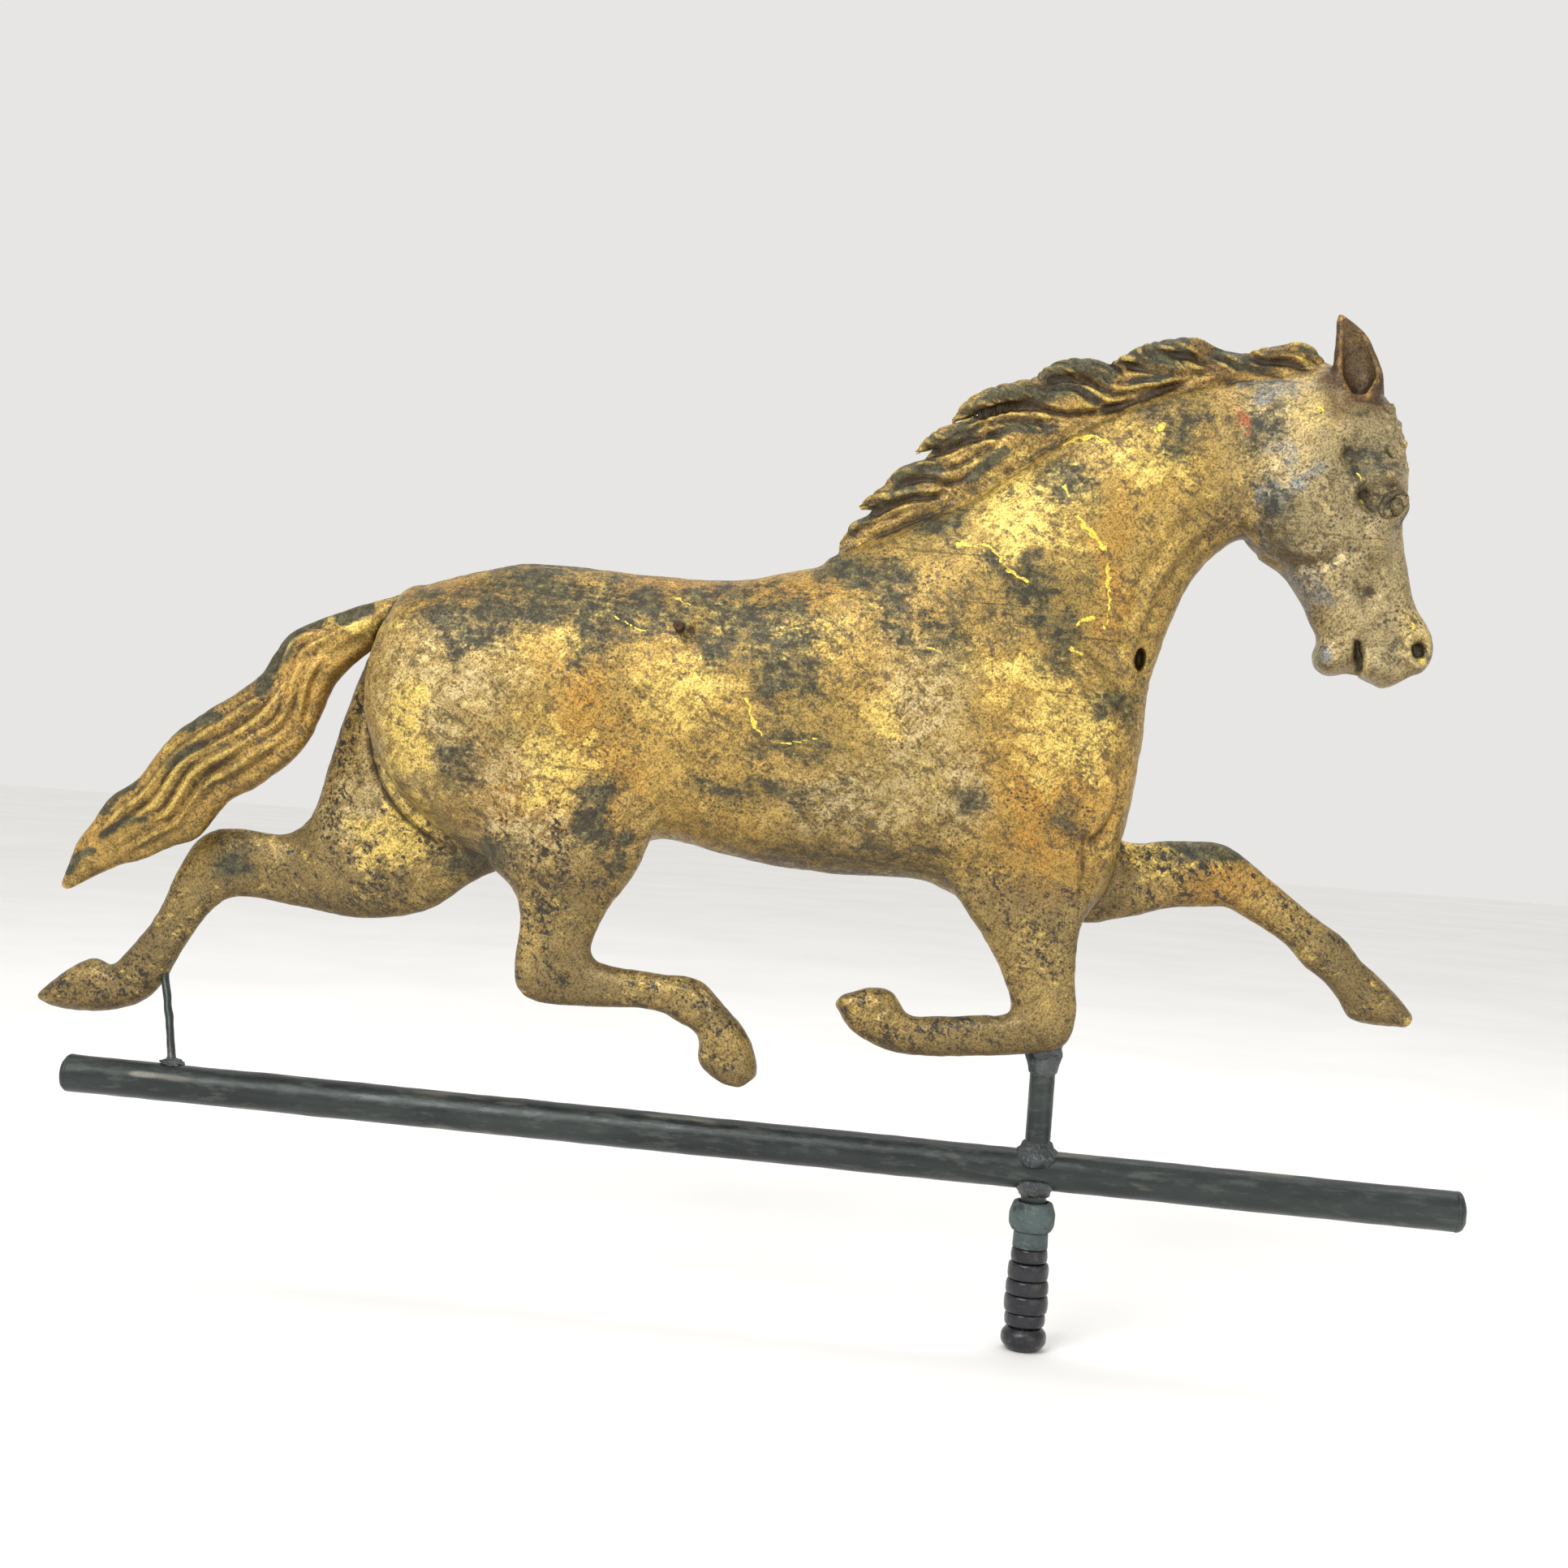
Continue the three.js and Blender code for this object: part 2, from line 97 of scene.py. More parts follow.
HIND_LEFT = [
    [-404, 400, -290, 330, 16], [-421, 354, -305, 280, 19], [-431, 322, -318, 250, 19],
    [-437, 298, -342, 236, 17], [-445, 268, -372, 215, 14], [-462, 255, -412, 208, 11],
    [-491, 256, -450, 212, 9], [-510, 252, -484, 215, 9], [-523, 236, -500, 209, 8],
    [-537, 203, -515, 190, 8], [-546, 188, -523, 176, 9], [-556, 175, -531, 160, 10],
    [-565, 167, -543, 147, 10], [-577, 170, -560, 140, 11], [-590, 164, -578, 138, 12],
    [-601, 155, -595, 138, 12], [-609, 147, -606, 142, 9],
]
HIND_RIGHT = [
    [-336, 330, -220, 330, 15], [-330, 280, -223, 290, 18], [-322, 250, -231, 266, 18],
    [-307, 236, -238, 248, 15], [-301, 219, -251, 228, 11], [-303, 193, -259, 208, 9],
    [-299, 178, -256, 199, 9], [-282, 172, -246, 197, 8], [-225, 174, -222, 195, 8],
    [-207, 169, -196, 193, 9], [-194, 162, -182, 182, 10], [-192, 147, -166, 165, 11],
    [-180, 137, -160, 150, 12], [-168, 135, -159, 142, 9],
]
FORE_RIGHT = [
    [-71, 300, 22, 290, 14], [-53, 251, 18, 256, 14], [-39, 231, 14, 230, 12],
    [-26, 209, 14, 209, 11], [-20, 192, 16, 191, 10], [-26, 187, 12, 175, 10],
    [-38, 186, -4, 168, 9], [-59, 184, -58, 161, 8], [-76, 183, -81, 161, 9],
    [-87, 195, -99, 166, 10], [-99, 196, -111, 174, 11], [-115, 191, -119, 186, 9],
]
FORE_LEFT = [
    [-12, 296, -30, 246, 13], [20, 292, 14, 240, 13], [44, 288, 40, 245, 12],
    [66, 291, 64, 252, 11], [92, 291, 88, 255, 11], [112, 279, 100, 254, 9],
    [140, 258, 128, 239, 8], [154, 249, 140, 227, 9], [165, 241, 153, 218, 9],
    [173, 231, 162, 208, 10], [182, 224, 168, 199, 11], [192, 215, 181, 196, 12],
    [203, 203, 199, 196, 10],
]
LEGS = {
    "hind_leg_left": (HIND_LEFT, 22, 13),
    "hind_leg_right": (HIND_RIGHT, -22, 11),
    "foreleg_right": (FORE_RIGHT, -14, 9),
    "foreleg_left": (FORE_LEFT, 22, 9),
}
RIDGE = [(-138, 441), (-96, 462), (-64, 480), (20, 535), (47, 542), (67, 547), (127, 553)]
# The body of the mane, from the crest of the neck up and back to just inside its edge.
MANE = [
    [-134, 433, -137, 447, 5], [-112, 442, -127, 459, 7], [-92, 452, -116, 471, 8],
    [-76, 462, -103, 485, 8.5], [-56, 474, -87, 503, 9], [-34, 488, -67, 521, 9],
    [-12, 503, -40, 533, 9], [10, 517, -20, 547, 9.5], [32, 529, 8, 550, 9.5], [55, 535, 34, 563, 9.5],
    [80, 540, 64, 567, 9], [102, 543, 92, 563, 9], [118, 545, 110, 567, 8], [130, 548, 126, 561, 7],
]
EAR = [
    [136, 528, 152, 528, 6], [132, 541, 155.5, 540, 7], [130, 553, 157, 551, 7], [129.5, 565, 153, 563, 6],
    [129.5, 575, 147, 574, 4.5], [129.5, 582, 139.5, 581, 3], [130.3, 586.5, 132.5, 586, 1.2],
]
EAR_Y, EAR_FOOT = 12, 545
# Locks of the mane, tip first: side outline points, then the widest radius.
LOCKS = [
    ([(-134, 449), (-126, 456), (-112, 460), (-96, 466)], 4.5),
    ([(-127, 467), (-117, 472), (-103, 478), (-88, 480), (-70, 482)], 5.0),
    ([(-114, 479), (-103, 487), (-90, 491), (-76, 491), (-60, 494)], 5.0),
    ([(-97, 500), (-86, 508), (-72, 513), (-58, 518), (-44, 515), (-30, 512)], 5.5),
    ([(-78, 519), (-66, 528), (-48, 535), (-30, 539), (-14, 536), (4, 532)], 6.5),
    ([(-34, 543), (-24, 549), (-8, 552), (4, 550), (14, 543), (30, 541), (60, 549)], 6.0),
    ([(-50, 531), (-30, 538), (-12, 543), (2, 538), (16, 533), (34, 538), (52, 544)], 4.5),
    ([(-82, 509), (-66, 515), (-48, 522), (-30, 524), (-12, 522), (8, 526)], 4.5),
    ([(6, 553), (22, 559), (38, 564), (54, 566), (72, 560), (92, 556)], 6.0),
    ([(20, 550), (38, 555), (54, 557), (68, 553), (86, 553)], 4.5),
    ([(78, 561), (92, 563), (106, 565), (118, 562), (127, 556)], 5.5),
    ([(100, 567), (110, 569), (119, 565), (127, 558)], 3.5),
]

# ---------------------------------------------------------------- distance field
VOXEL = 1.2
WIDE = 10
BAND = WIDE * VOXEL
FIELD_LOW = np.floor(np.array([-626.0, -62.0, 120.0]) / VOXEL).astype(int)
FIELD_HIGH = np.ceil(np.array([212.0, 62.0, 600.0]) / VOXEL).astype(int)


def smooth_rows(rows, steps):
    """Catmull-Rom through the rows of a table."""
    p = np.array(rows, float)
    p = np.vstack([2 * p[0] - p[1], p, 2 * p[-1] - p[-2]])
    t = (np.arange(steps) / steps)[:, None]
    out = []
    for i in range(1, len(p) - 2):
        a, b, c, d = p[i - 1], p[i], p[i + 1], p[i + 2]
        out.append(0.5 * (2 * b + (c - a) * t + (2 * a - 5 * b + 4 * c - d) * t**2
                          + (3 * b - a - 3 * c + d) * t**3))
    out.append(p[-2:-1])
    return np.vstack(out)


def around(sides):
    return np.linspace(0, 2 * math.pi, sides, endpoint=False)


def ring_quads(count, sides):
    """The faces between neighbouring rings."""
    i, k = np.meshgrid(np.arange(count - 1), np.arange(sides), indexing="ij")
    here, beside = i * sides + k, i * sides + (k + 1) % sides
    return np.stack([here, beside, beside + sides, here + sides], -1).reshape(-1, 4)


def ring_mesh(centres, arm_a, arm_b, power=1.0):
    """Closed mesh over rings; arm_a and arm_b are the two half axes of each ring."""
    sides = 40
    angle = around(sides)
    c = np.sign(np.cos(angle)) * np.abs(np.cos(angle)) ** power
    s = np.sign(np.sin(angle)) * np.abs(np.sin(angle)) ** power
    rings = (centres[:, None, :] + arm_a[:, None, :] * c[None, :, None]
             + arm_b[:, None, :] * s[None, :, None])
    count = len(centres)
    points = np.vstack([rings.reshape(-1, 3), centres[:1], centres[-1:]])
    k = np.arange(sides)
    k2 = (k + 1) % sides
    first, last = count * sides, count * sides + 1
    fan_a = np.stack([np.full(sides, first), k2, k], -1)
    fan_b = np.stack([np.full(sides, last), (count - 1) * sides + k, (count - 1) * sides + k2], -1)
    return points, np.vstack([fan_a, fan_b]), ring_quads(count, sides)


def loft(ribs, middle, power=0.95):
    r = smooth_rows(ribs, 6)
    centres = np.stack([(r[:, 0] + r[:, 2]) / 2, np.full(len(r), middle), (r[:, 1] + r[:, 3]) / 2], -1)
    arm_a = np.stack([(r[:, 0] - r[:, 2]) / 2, np.zeros(len(r)), (r[:, 1] - r[:, 3]) / 2], -1)
    arm_b = np.stack([np.zeros(len(r)), r[:, 4], np.zeros(len(r))], -1)
    return ring_mesh(centres, arm_a, arm_b, power)


def window(low, high):
    """The whole-number corners of the part of the field between two points, with WIDE to spare."""
    a = np.maximum(np.floor(low / VOXEL).astype(int) - WIDE, FIELD_LOW)
    b = np.minimum(np.ceil(high / VOXEL).astype(int) + WIDE, FIELD_HIGH)
    return a, b


def cut_of(part):
    """The slices of the whole field that a part's window covers."""
    a, array = part
    return tuple(slice(lo, lo + n) for lo, n in zip(a - FIELD_LOW, array.shape))


def solid_field(mesh):
    """Signed distance of a closed mesh, as (first index, array)."""
    points, tris, quads = mesh
    a, b = window(points.min(0), points.max(0))
    grid = openvdb.FloatGrid.createLevelSetFromPolygons(
        points.astype(np.float32), triangles=tris.astype(np.uint32), quads=quads.astype(np.uint32),
        transform=openvdb.createLinearTransform(VOXEL), halfWidth=float(WIDE))
    array = np.full(b - a, BAND, np.float32)
    grid.copyToArray(array, ijk=tuple(int(v) for v in a))
    return a, array


def smooth_min(p, q, k):
    h = np.maximum(k - np.abs(p - q), 0) / k
    return np.minimum(p, q) - h * h * k * 0.25


def join(field, part, k):
    """Adds a part to the field, with a fillet about k mm wide."""
    cut = cut_of(part)
    field[cut] = smooth_min(field[cut], part[1], k)


def remove(field, part, k):
    """Cuts a part out of the field, with the cut's rim rounded over about k mm."""
    cut = cut_of(part)
    field[cut] = -smooth_min(-field[cut], part[1], k)


def places(a, b):
    """The x, y and z of a window's grid points, ready to combine."""
    axes = [np.arange(lo, hi, dtype=np.float32) * VOXEL for lo, hi in zip(a, b)]
    return axes[0][:, None, None], axes[1][None, :, None], axes[2][None, None, :]


def ellipsoid(centre, radii, turn=0.0):
    """Distance to an ellipsoid turned in the side plane; turn in degrees."""
    reach = np.array([max(radii[0], radii[2]), radii[1], max(radii[0], radii[2])])
    a, b = window(np.array(centre) - reach, np.array(centre) + reach)
    x, y, z = places(a, b)
    c, s = math.cos(math.radians(turn)), math.sin(math.radians(turn))
    u = (x - centre[0]) * c + (z - centre[2]) * s
    w = -(x - centre[0]) * s + (z - centre[2]) * c
    v = y - centre[1]
    k0 = np.sqrt((u / radii[0]) ** 2 + (v / radii[1]) ** 2 + (w / radii[2]) ** 2)
    k1 = np.sqrt((u / radii[0] ** 2) ** 2 + (v / radii[1] ** 2) ** 2 + (w / radii[2] ** 2) ** 2) + 1e-6
    return a, (k0 * (k0 - 1) / k1).astype(np.float32)


def swell(field, centre, radii, k, turn=0.0):
    """Adds an ellipsoid on each side."""
    for side in (-1, 1):
        join(field, ellipsoid((centre[0], centre[1] * side, centre[2]), radii, turn), k)


def carve(field, centre, radii, k, turn=0.0):
    """Takes an ellipsoid away on each side."""
    for side in (-1, 1):
        remove(field, ellipsoid((centre[0], centre[1] * side, centre[2]), radii, turn), k)


def strand(points, radius, side_y, flat):
    """A tapering strand along a curve: radius is its widest, flat squeezes it across."""
    p = smooth_rows([[x, side_y, z] for x, z in points], 6)
    t = np.linspace(0, 1, len(p))
    wide = radius * np.clip(t / 0.28, 0.12, 1) ** 0.7 * np.clip((1.12 - t) / 0.5, 0.2, 1)
    along = np.gradient(p, axis=0)
    along /= np.linalg.norm(along, axis=1)[:, None]
    across = np.stack([-along[:, 2], np.zeros(len(p)), along[:, 0]], -1)
    arm_a = across * wide[:, None]
    arm_b = np.stack([np.zeros(len(p)), wide * flat, np.zeros(len(p))], -1)
    return ring_mesh(p, arm_a, arm_b)


def soften(field, times):
    """Blurs the field along each axis in turn."""
    for axis in [0, 1, 2] * times:
        low = np.roll(field, 1, axis)
        high = np.roll(field, -1, axis)
        field *= 0.5
        field += 0.25 * low
        field += 0.25 * high


def build_horse():
    """The whole horse as one field, and the separate fields used to tell its pieces apart."""
    field = np.full(FIELD_HIGH - FIELD_LOW, BAND, np.float32)
    parts = {"body": solid_field(loft(BODY, 0, 0.92))}
    join(field, parts["body"], 1.0)
    parts["neck"] = solid_field(loft(NECK, 0, 0.95))
    join(field, parts["neck"], 12.0)
    swell(field, (-350, 24, 338), (44, 21, 62), 12, turn=12)
    swell(field, (-296, 24, 352), (52, 19, 48), 12)
    swell(field, (-40, 21, 345), (62, 19, 66), 12, turn=-35)
    swell(field, (6, 18, 318), (25, 20, 34), 7, turn=8)
    swell(field, (-78, 18, 400), (52, 15, 34), 12, turn=25)
    carve(field, (-236, 60, 318), (34, 20, 34), 14)
    for name, (ribs, middle, _) in LEGS.items():
        parts[name] = solid_field(loft(ribs, middle, 0.97))
        join(field, parts[name], 9.0 if middle < 0 else 5.0)
    swell(field, (-282, 26, 285), (36, 17, 42), 10, turn=-18)
    parts["tail"] = solid_field(loft(TAIL, 0, 1.0))
    join(field, parts["tail"], 4.0)
    soften(field, 2)
    # head: the skull, then cheeks, brow, crest, muzzle, lips and nostrils
    parts["head"] = solid_field(loft(HEAD, 0, 0.95))
    join(field, parts["head"], 6.0)
    swell(field, (119, 13, 484), (35, 17, 36), 4)
    swell(field, (118, 12, 520), (30, 13, 26), 8)
    swell(field, (158, 12, 499), (14, 12, 7), 6, turn=-10)
    swell(field, (167, 11, 483), (8.5, 9, 9), 4, turn=-8)
    swell(field, (143, 9, 446), (12, 11, 10), 5, turn=-15)
    swell(field, (158, 14, 466), (9, 9, 22), 5, turn=-10)
    swell(field, (184, 9, 404), (9, 9, 12), 4)
    swell(field, (168, 8, 396), (13, 9, 9), 5)
    swell(field, (141, 5, 399), (9.5, 10, 9.5), 4)
    carve(field, (146, 33, 510), (13, 12, 13), 5)
    carve(field, (153, 25, 485), (8, 6, 6), 3, turn=-20)
    carve(field, (157, 27, 436), (12, 12, 20), 5, turn=-10)
    carve(field, (186.5, 19, 405.5), (4.8, 8, 6), 2.5)
    carve(field, (36.5, 15, 390), (3.2, 9, 6.5), 1.2)
    for points, radius in LOCKS:
        for side in (-1, 1):
            join(field, solid_field(strand(points, radius, side * 4.0, 0.85)), 1.6)
    parts["mane"] = solid_field(loft(MANE, 0, 1.0))
    join(field, parts["mane"], 2.5)
    # ears: a leaf, hollowed on its outer face
    for side, word in ((-1, "right"), (1, "left")):
        lean = 0 if side < 0 else 4
        leaf = [[x1 + lean, z1, x2 + lean, z2, d] for x1, z1, x2, z2, d in EAR]
        parts["ear_" + word] = solid_field(loft(leaf, side * EAR_Y, 0.9))
        join(field, parts["ear_" + word], 3.0)
        scoop = []
        for x1, z1, x2, z2, d in leaf[1:]:
            x = (x1 + x2) / 2 - 0.5
            z = (z1 + z2) / 2 + 1
            w = (x2 - x1) / 2 * (0.3 if z1 < EAR_FOOT else 0.68)
            scoop.append([x - w, z, x + w, z, d])
        remove(field, solid_field(loft(scoop, side * (EAR_Y + 6), 1.0)), 1.5)
    return field, parts


def tail_strokes():
    """Grooves that run down the tail, as fractions across its ribs."""
    r = smooth_rows(TAIL, 6)
    t = np.linspace(0, 1, len(r))
    out = []
    for i, start in enumerate((0.16, 0.33, 0.50, 0.67, 0.84)):
        v = start + (0.05 * np.sin(t * 17 + 0.8) + 0.045 * np.sin(t * 24 + i * 1.7)) * (1.1 - t)
        x = r[:, 0] + (r[:, 2] - r[:, 0]) * v
        z = r[:, 1] + (r[:, 3] - r[:, 1]) * v
        keep = slice(3 + i % 3, len(r) - 4)
        path = list(zip(x[keep], z[keep]))
        out.append((0, 3.2, 3.4 if i % 2 else 2.6, path))
        if i < 4:
            out.append((0, 3.6, -1.3, [(px + 3.0, pz - 4.0) for px, pz in path]))
    return out


# The plane on which strokes and patches are drawn, and how a point in the middle plane shifts onto it.
PLATE = 25
PLATE_X, PLATE_Z, PLATE_SCALE = 0.24, 6.81, 0.0222
# A stroke is (side, width, depth, points): side -1 right, 1 left, 0 both; depth inwards.
STROKES = [
    # eye: lid, inner corner, brow, fold under it, temple
    (0, 3.0, 2.2, [(148, 489), (151, 482), (157, 477)]),
    (0, 4.0, -1.0, [(147, 500), (153, 496), (160, 497), (167, 499)]),
    (0, 2.5, 1.3, [(157, 471), (163, 468), (170, 470)]),
    (0, 6.5, 2.2, [(137, 510), (143, 502)]),
    # cheek: the crease under it, its rim, the jaw's shadow, then the facial crest and a dimple
    (0, 4.0, 1.9, [(116, 449), (125, 446), (132, 449), (138, 455), (145, 456.5), (153, 452)]),
    (0, 5.0, -1.2, [(98, 467), (105, 457), (116, 454), (126, 453), (134, 459), (143, 462)]),
    (0, 5.0, 2.2, [(97, 496), (92, 480), (94, 466), (102, 455), (112, 449)]),
    (0, 4.0, -1.4, [(157, 468), (159, 450), (162, 434), (164, 418)]),
    (0, 6.0, 1.8, [(154, 437), (156, 430)]),
    # mouth, lips, nostril
    (0, 1.9, 5.0, [(151.5, 408), (152, 398), (153, 380)]),
    (0, 3.0, -1.2, [(157, 404), (157, 394), (159, 387)]),
    (0, 2.4, 2.6, [(182, 407), (184, 400)]),
    (0, 1.6, -1.6, [(176, 403), (178, 410), (184, 413.5), (190, 409)]),
    (0, 1.5, -1.2, [(178, 399), (183, 395.5), (189, 398)]),
    (0, 3.0, 1.6, [(174, 414), (170, 405), (172, 397), (178, 391)]),
    # neck, shoulder and breast
    (0, 4.5, 2.3, [(24, 388), (29, 410), (36, 434), (50, 458), (70, 480)]),
    (0, 4.0, 2.0, [(36, 392), (42, 415), (52, 437), (66, 456), (82, 466)]),
    (0, 3.5, -1.1, [(31, 392), (36, 414), (45, 438), (58, 458)]),
    (0, 5.0, 1.6, [(-40, 440), (-14, 420), (8, 398), (24, 376), (32, 356)]),
    (0, 3.0, 3.8, [(31, 334), (32, 316), (29, 302), (22, 291), (12, 283)]),
    (0, 4.5, -2.0, [(24, 330), (25, 314), (21, 300), (12, 292)]),
    (-1, 2.0, 1.8, [(12, 292), (14, 272), (13, 250)]),
    (0, 9.0, 1.2, [(-62, 300), (-58, 276), (-48, 256)]),
    # flank, thigh and hocks
    (0, 7.0, 2.0, [(-256, 312), (-245, 294), (-232, 276)]),
    (0, 2.2, -1.2, [(-404, 352), (-402, 330), (-396, 306), (-384, 286), (-364, 268), (-338, 255)]),
    (0, 2.2, 2.2, [(-407, 350), (-405, 329), (-399, 303), (-387, 282), (-366, 263), (-340, 251)]),
    (0, 2.2, 2.2, [(-386, 402), (-391, 392), (-394, 380), (-398, 366)]),
    (-1, 2.0, 1.2, [(-197, 192), (-190, 180), (-192, 166)]),
    (-1, 2.0, 1.2, [(-84, 192), (-96, 180), (-100, 168)]),
    (-1, 2.6, 2.2, [(-216, 392), (-212, 388)]),
    # foot of the ear
    (0, 2.5, 1.4, [(128, 541), (134, 534), (143, 530), (152, 533)]),
    (0, 3.0, -1.2, [(131, 546), (140, 538), (151, 540)]),
]
# Grooves between the locks of the mane: (depth, points).
MANE_GROOVES = [
    (2.4, [(-129, 446), (-120, 453), (-110, 458), (-98, 463)]),
    (2.6, [(-122, 459), (-110, 464), (-98, 470), (-84, 472), (-72, 478)]),
    (2.8, [(-109, 475), (-98, 480), (-86, 482), (-74, 480), (-60, 487)]),
    (2.2, [(-98, 487), (-84, 489), (-70, 491), (-60, 498), (-48, 505)]),
    (3.0, [(-92, 494), (-80, 498), (-68, 504), (-56, 508), (-40, 511)]),
    (2.4, [(-78, 507), (-66, 509), (-56, 515), (-40, 518), (-24, 517), (-6, 519)]),
    (3.2, [(-73, 511), (-60, 519), (-46, 524), (-30, 525), (-14, 522), (4, 524), (20, 530)]),
    (2.8, [(-40, 535), (-24, 536), (-10, 537), (0, 531), (10, 527), (24, 532), (40, 538), (56, 544)]),
    (3.2, [(-31, 537), (-20, 541), (-6, 541), (6, 537), (14, 534), (28, 537), (44, 541), (60, 546)]),
    (2.0, [(4, 544), (14, 541), (28, 543), (44, 545)]),
    (2.6, [(4, 551), (20, 550), (34, 548), (50, 547), (70, 550)]),
    (2.4, [(24, 557), (38, 558), (52, 556), (66, 551)]),
    (2.2, [(58, 560), (70, 556), (80, 552), (92, 550), (110, 550)]),
    (2.0, [(78, 560), (90, 556), (104, 555), (118, 552)]),
    (2.2, [(100, 564), (112, 561), (122, 556)]),
    (1.6, [(-132, 441), (-112, 450), (-96, 457), (-64, 471), (-40, 489), (-14, 508), (10, 522), (40, 534)]),
    (1.4, [(40, 535), (70, 544), (100, 547), (126, 546)]),
]
# Dark weathered tops of the locks, and of the strands along the tail's upper edge: (width, points).
DARK_BANDS = [
    (2.6, [(-131, 448), (-124, 456), (-115, 461)]),
    (3.0, [(-124, 461), (-112, 467), (-100, 474), (-90, 475)]),
    (3.4, [(-110, 479), (-100, 485), (-88, 487), (-76, 485)]),
    (2.8, [(-70, 480), (-60, 487), (-50, 496), (-42, 503)]),
    (3.6, [(-93, 498), (-80, 503), (-70, 509), (-58, 514)]),
    (2.0, [(-58, 505), (-45, 512), (-30, 513), (-14, 513)]),
    (4.2, [(-75, 515), (-62, 524), (-50, 530), (-35, 532), (-18, 529)]),
    (2.6, [(-28, 534), (-12, 536), (-2, 533), (6, 528)]),
    (4.6, [(-33, 541), (-22, 547), (-8, 549), (4, 546), (14, 540)]),
    (1.8, [(18, 541), (30, 543), (44, 544)]),
    (3.6, [(10, 552), (24, 556), (38, 554), (50, 551)]),
    (4.6, [(28, 561), (40, 564), (52, 563)]),
    (3.4, [(60, 561), (72, 556), (84, 554), (98, 554)]),
    (3.0, [(108, 567), (120, 563), (128, 556)]),
    (3.0, [(-425, 384), (-440, 379), (-450, 371), (-456, 362)]),
    (3.2, [(-446, 368), (-456, 356), (-462, 345), (-465, 333)]),
    (2.6, [(-480, 340), (-495, 330), (-508, 318), (-516, 310)]),
    (2.2, [(-484, 323), (-498, 319), (-508, 311)]),
    (2.0, [(-492, 308), (-504, 302), (-514, 294), (-518, 288)]),
    (2.4, [(-530, 280), (-544, 276), (-552, 266), (-558, 258)]),
    (2.0, [(-522, 258), (-536, 259), (-548, 252), (-558, 245)]),
    (2.0, [(-555, 239), (-566, 236), (-572, 228), (-576, 222)]),
    (2.6, [(-398, 392), (-412, 386), (-424, 382)]),
]


def on_plate(points):
    """Where points are seen against the plane PLATE mm out, on which strokes and patches are drawn."""
    k = (PLATE - np.abs(points[:, 1])) / PLATE
    out = points.copy()
    out[:, 0] = (points[:, 0] - PLATE_X * k) / (1 + PLATE_SCALE * k)
    out[:, 2] = (points[:, 2] + PLATE_Z * k) / (1 + PLATE_SCALE * k)
    return out


def stroke_depth(points, strokes):
    """How deep the strokes press in at each point."""
    depth = np.zeros(len(points))
    x, y, z = points.T
    for side, width, deep, path in strokes:
        path = smooth_rows(path, 5) if len(path) > 2 else np.array(path, float)
        near = ((x > path[:, 0].min() - 3 * width) & (x < path[:, 0].max() + 3 * width)
                & (z > path[:, 1].min() - 3 * width) & (z < path[:, 1].max() + 3 * width))
        if side:
            near &= y * side > 0
        index = np.nonzero(near)[0]
        best = np.full(len(index), 1e9)
        where = np.zeros(len(index))
        for i in range(len(path) - 1):
            ax, az = path[i]
            bx, bz = path[i + 1]
            length = (bx - ax) ** 2 + (bz - az) ** 2 + 1e-9
            t = np.clip(((x[index] - ax) * (bx - ax) + (z[index] - az) * (bz - az)) / length, 0, 1)
            d = np.hypot(x[index] - ax - t * (bx - ax), z[index] - az - t * (bz - az))
            closer = d < best
            best = np.where(closer, d, best)
            where = np.where(closer, (i + t) / (len(path) - 1), where)
        taper = np.clip(np.minimum(where, 1 - where) / 0.15, 0.15, 1)
        depth[index] += deep * taper * np.exp(-((best / width) ** 2))
    return depth


def vertex_normals(points, quads):
    """Unit normals at points, from the areas and directions of the faces round them."""
    flat = np.cross(points[quads[:, 2]] - points[quads[:, 0]], points[quads[:, 3]] - points[quads[:, 1]])
    out = np.zeros_like(points)
    for k in range(4):
        for axis in range(3):
            out[:, axis] += np.bincount(quads[:, k], flat[:, axis], len(points))
    return out / (np.linalg.norm(out, axis=1)[:, None] + 1e-12)


def neighbour_mean(values, quads):
    """Each point's value replaced by the mean over its neighbours."""
    total = np.zeros(len(values))
    count = np.zeros(len(values))
    for a, b in ((0, 1), (1, 2), (2, 3), (3, 0)):
        for p, q in ((a, b), (b, a)):
            total += np.bincount(quads[:, p], values[quads[:, q]], len(values))
            count += np.bincount(quads[:, p], minlength=len(values))
    return total / np.maximum(count, 1)


def hollowness(points, normals, quads):
    """Positive in grooves and negative on edges."""
    mean = points
    for _ in range(3):
        mean = np.stack([neighbour_mean(mean[:, k], quads) for k in range(3)], -1)
    value = ((mean - points) * normals).sum(1)
    for _ in range(2):
        value = neighbour_mean(value, quads)
    return np.clip(value / 0.5, -1, 1)


def waves(points, size, seed):
    """Smooth repeatable noise between about -1 and 1; size is the wavelength."""
    rng = np.random.default_rng(seed)
    total = np.zeros(len(points))
    for _ in range(14):
        way = rng.normal(size=3)
        way *= rng.uniform(0.6, 1.5) / (size * np.linalg.norm(way))
        total += np.sin(2 * math.pi * (points @ way) + rng.uniform(0, 2 * math.pi))
    return total / 3.7


def three_waves(points, size, seed):
    return np.stack([waves(points, size, seed + k) for k in range(3)], -1)


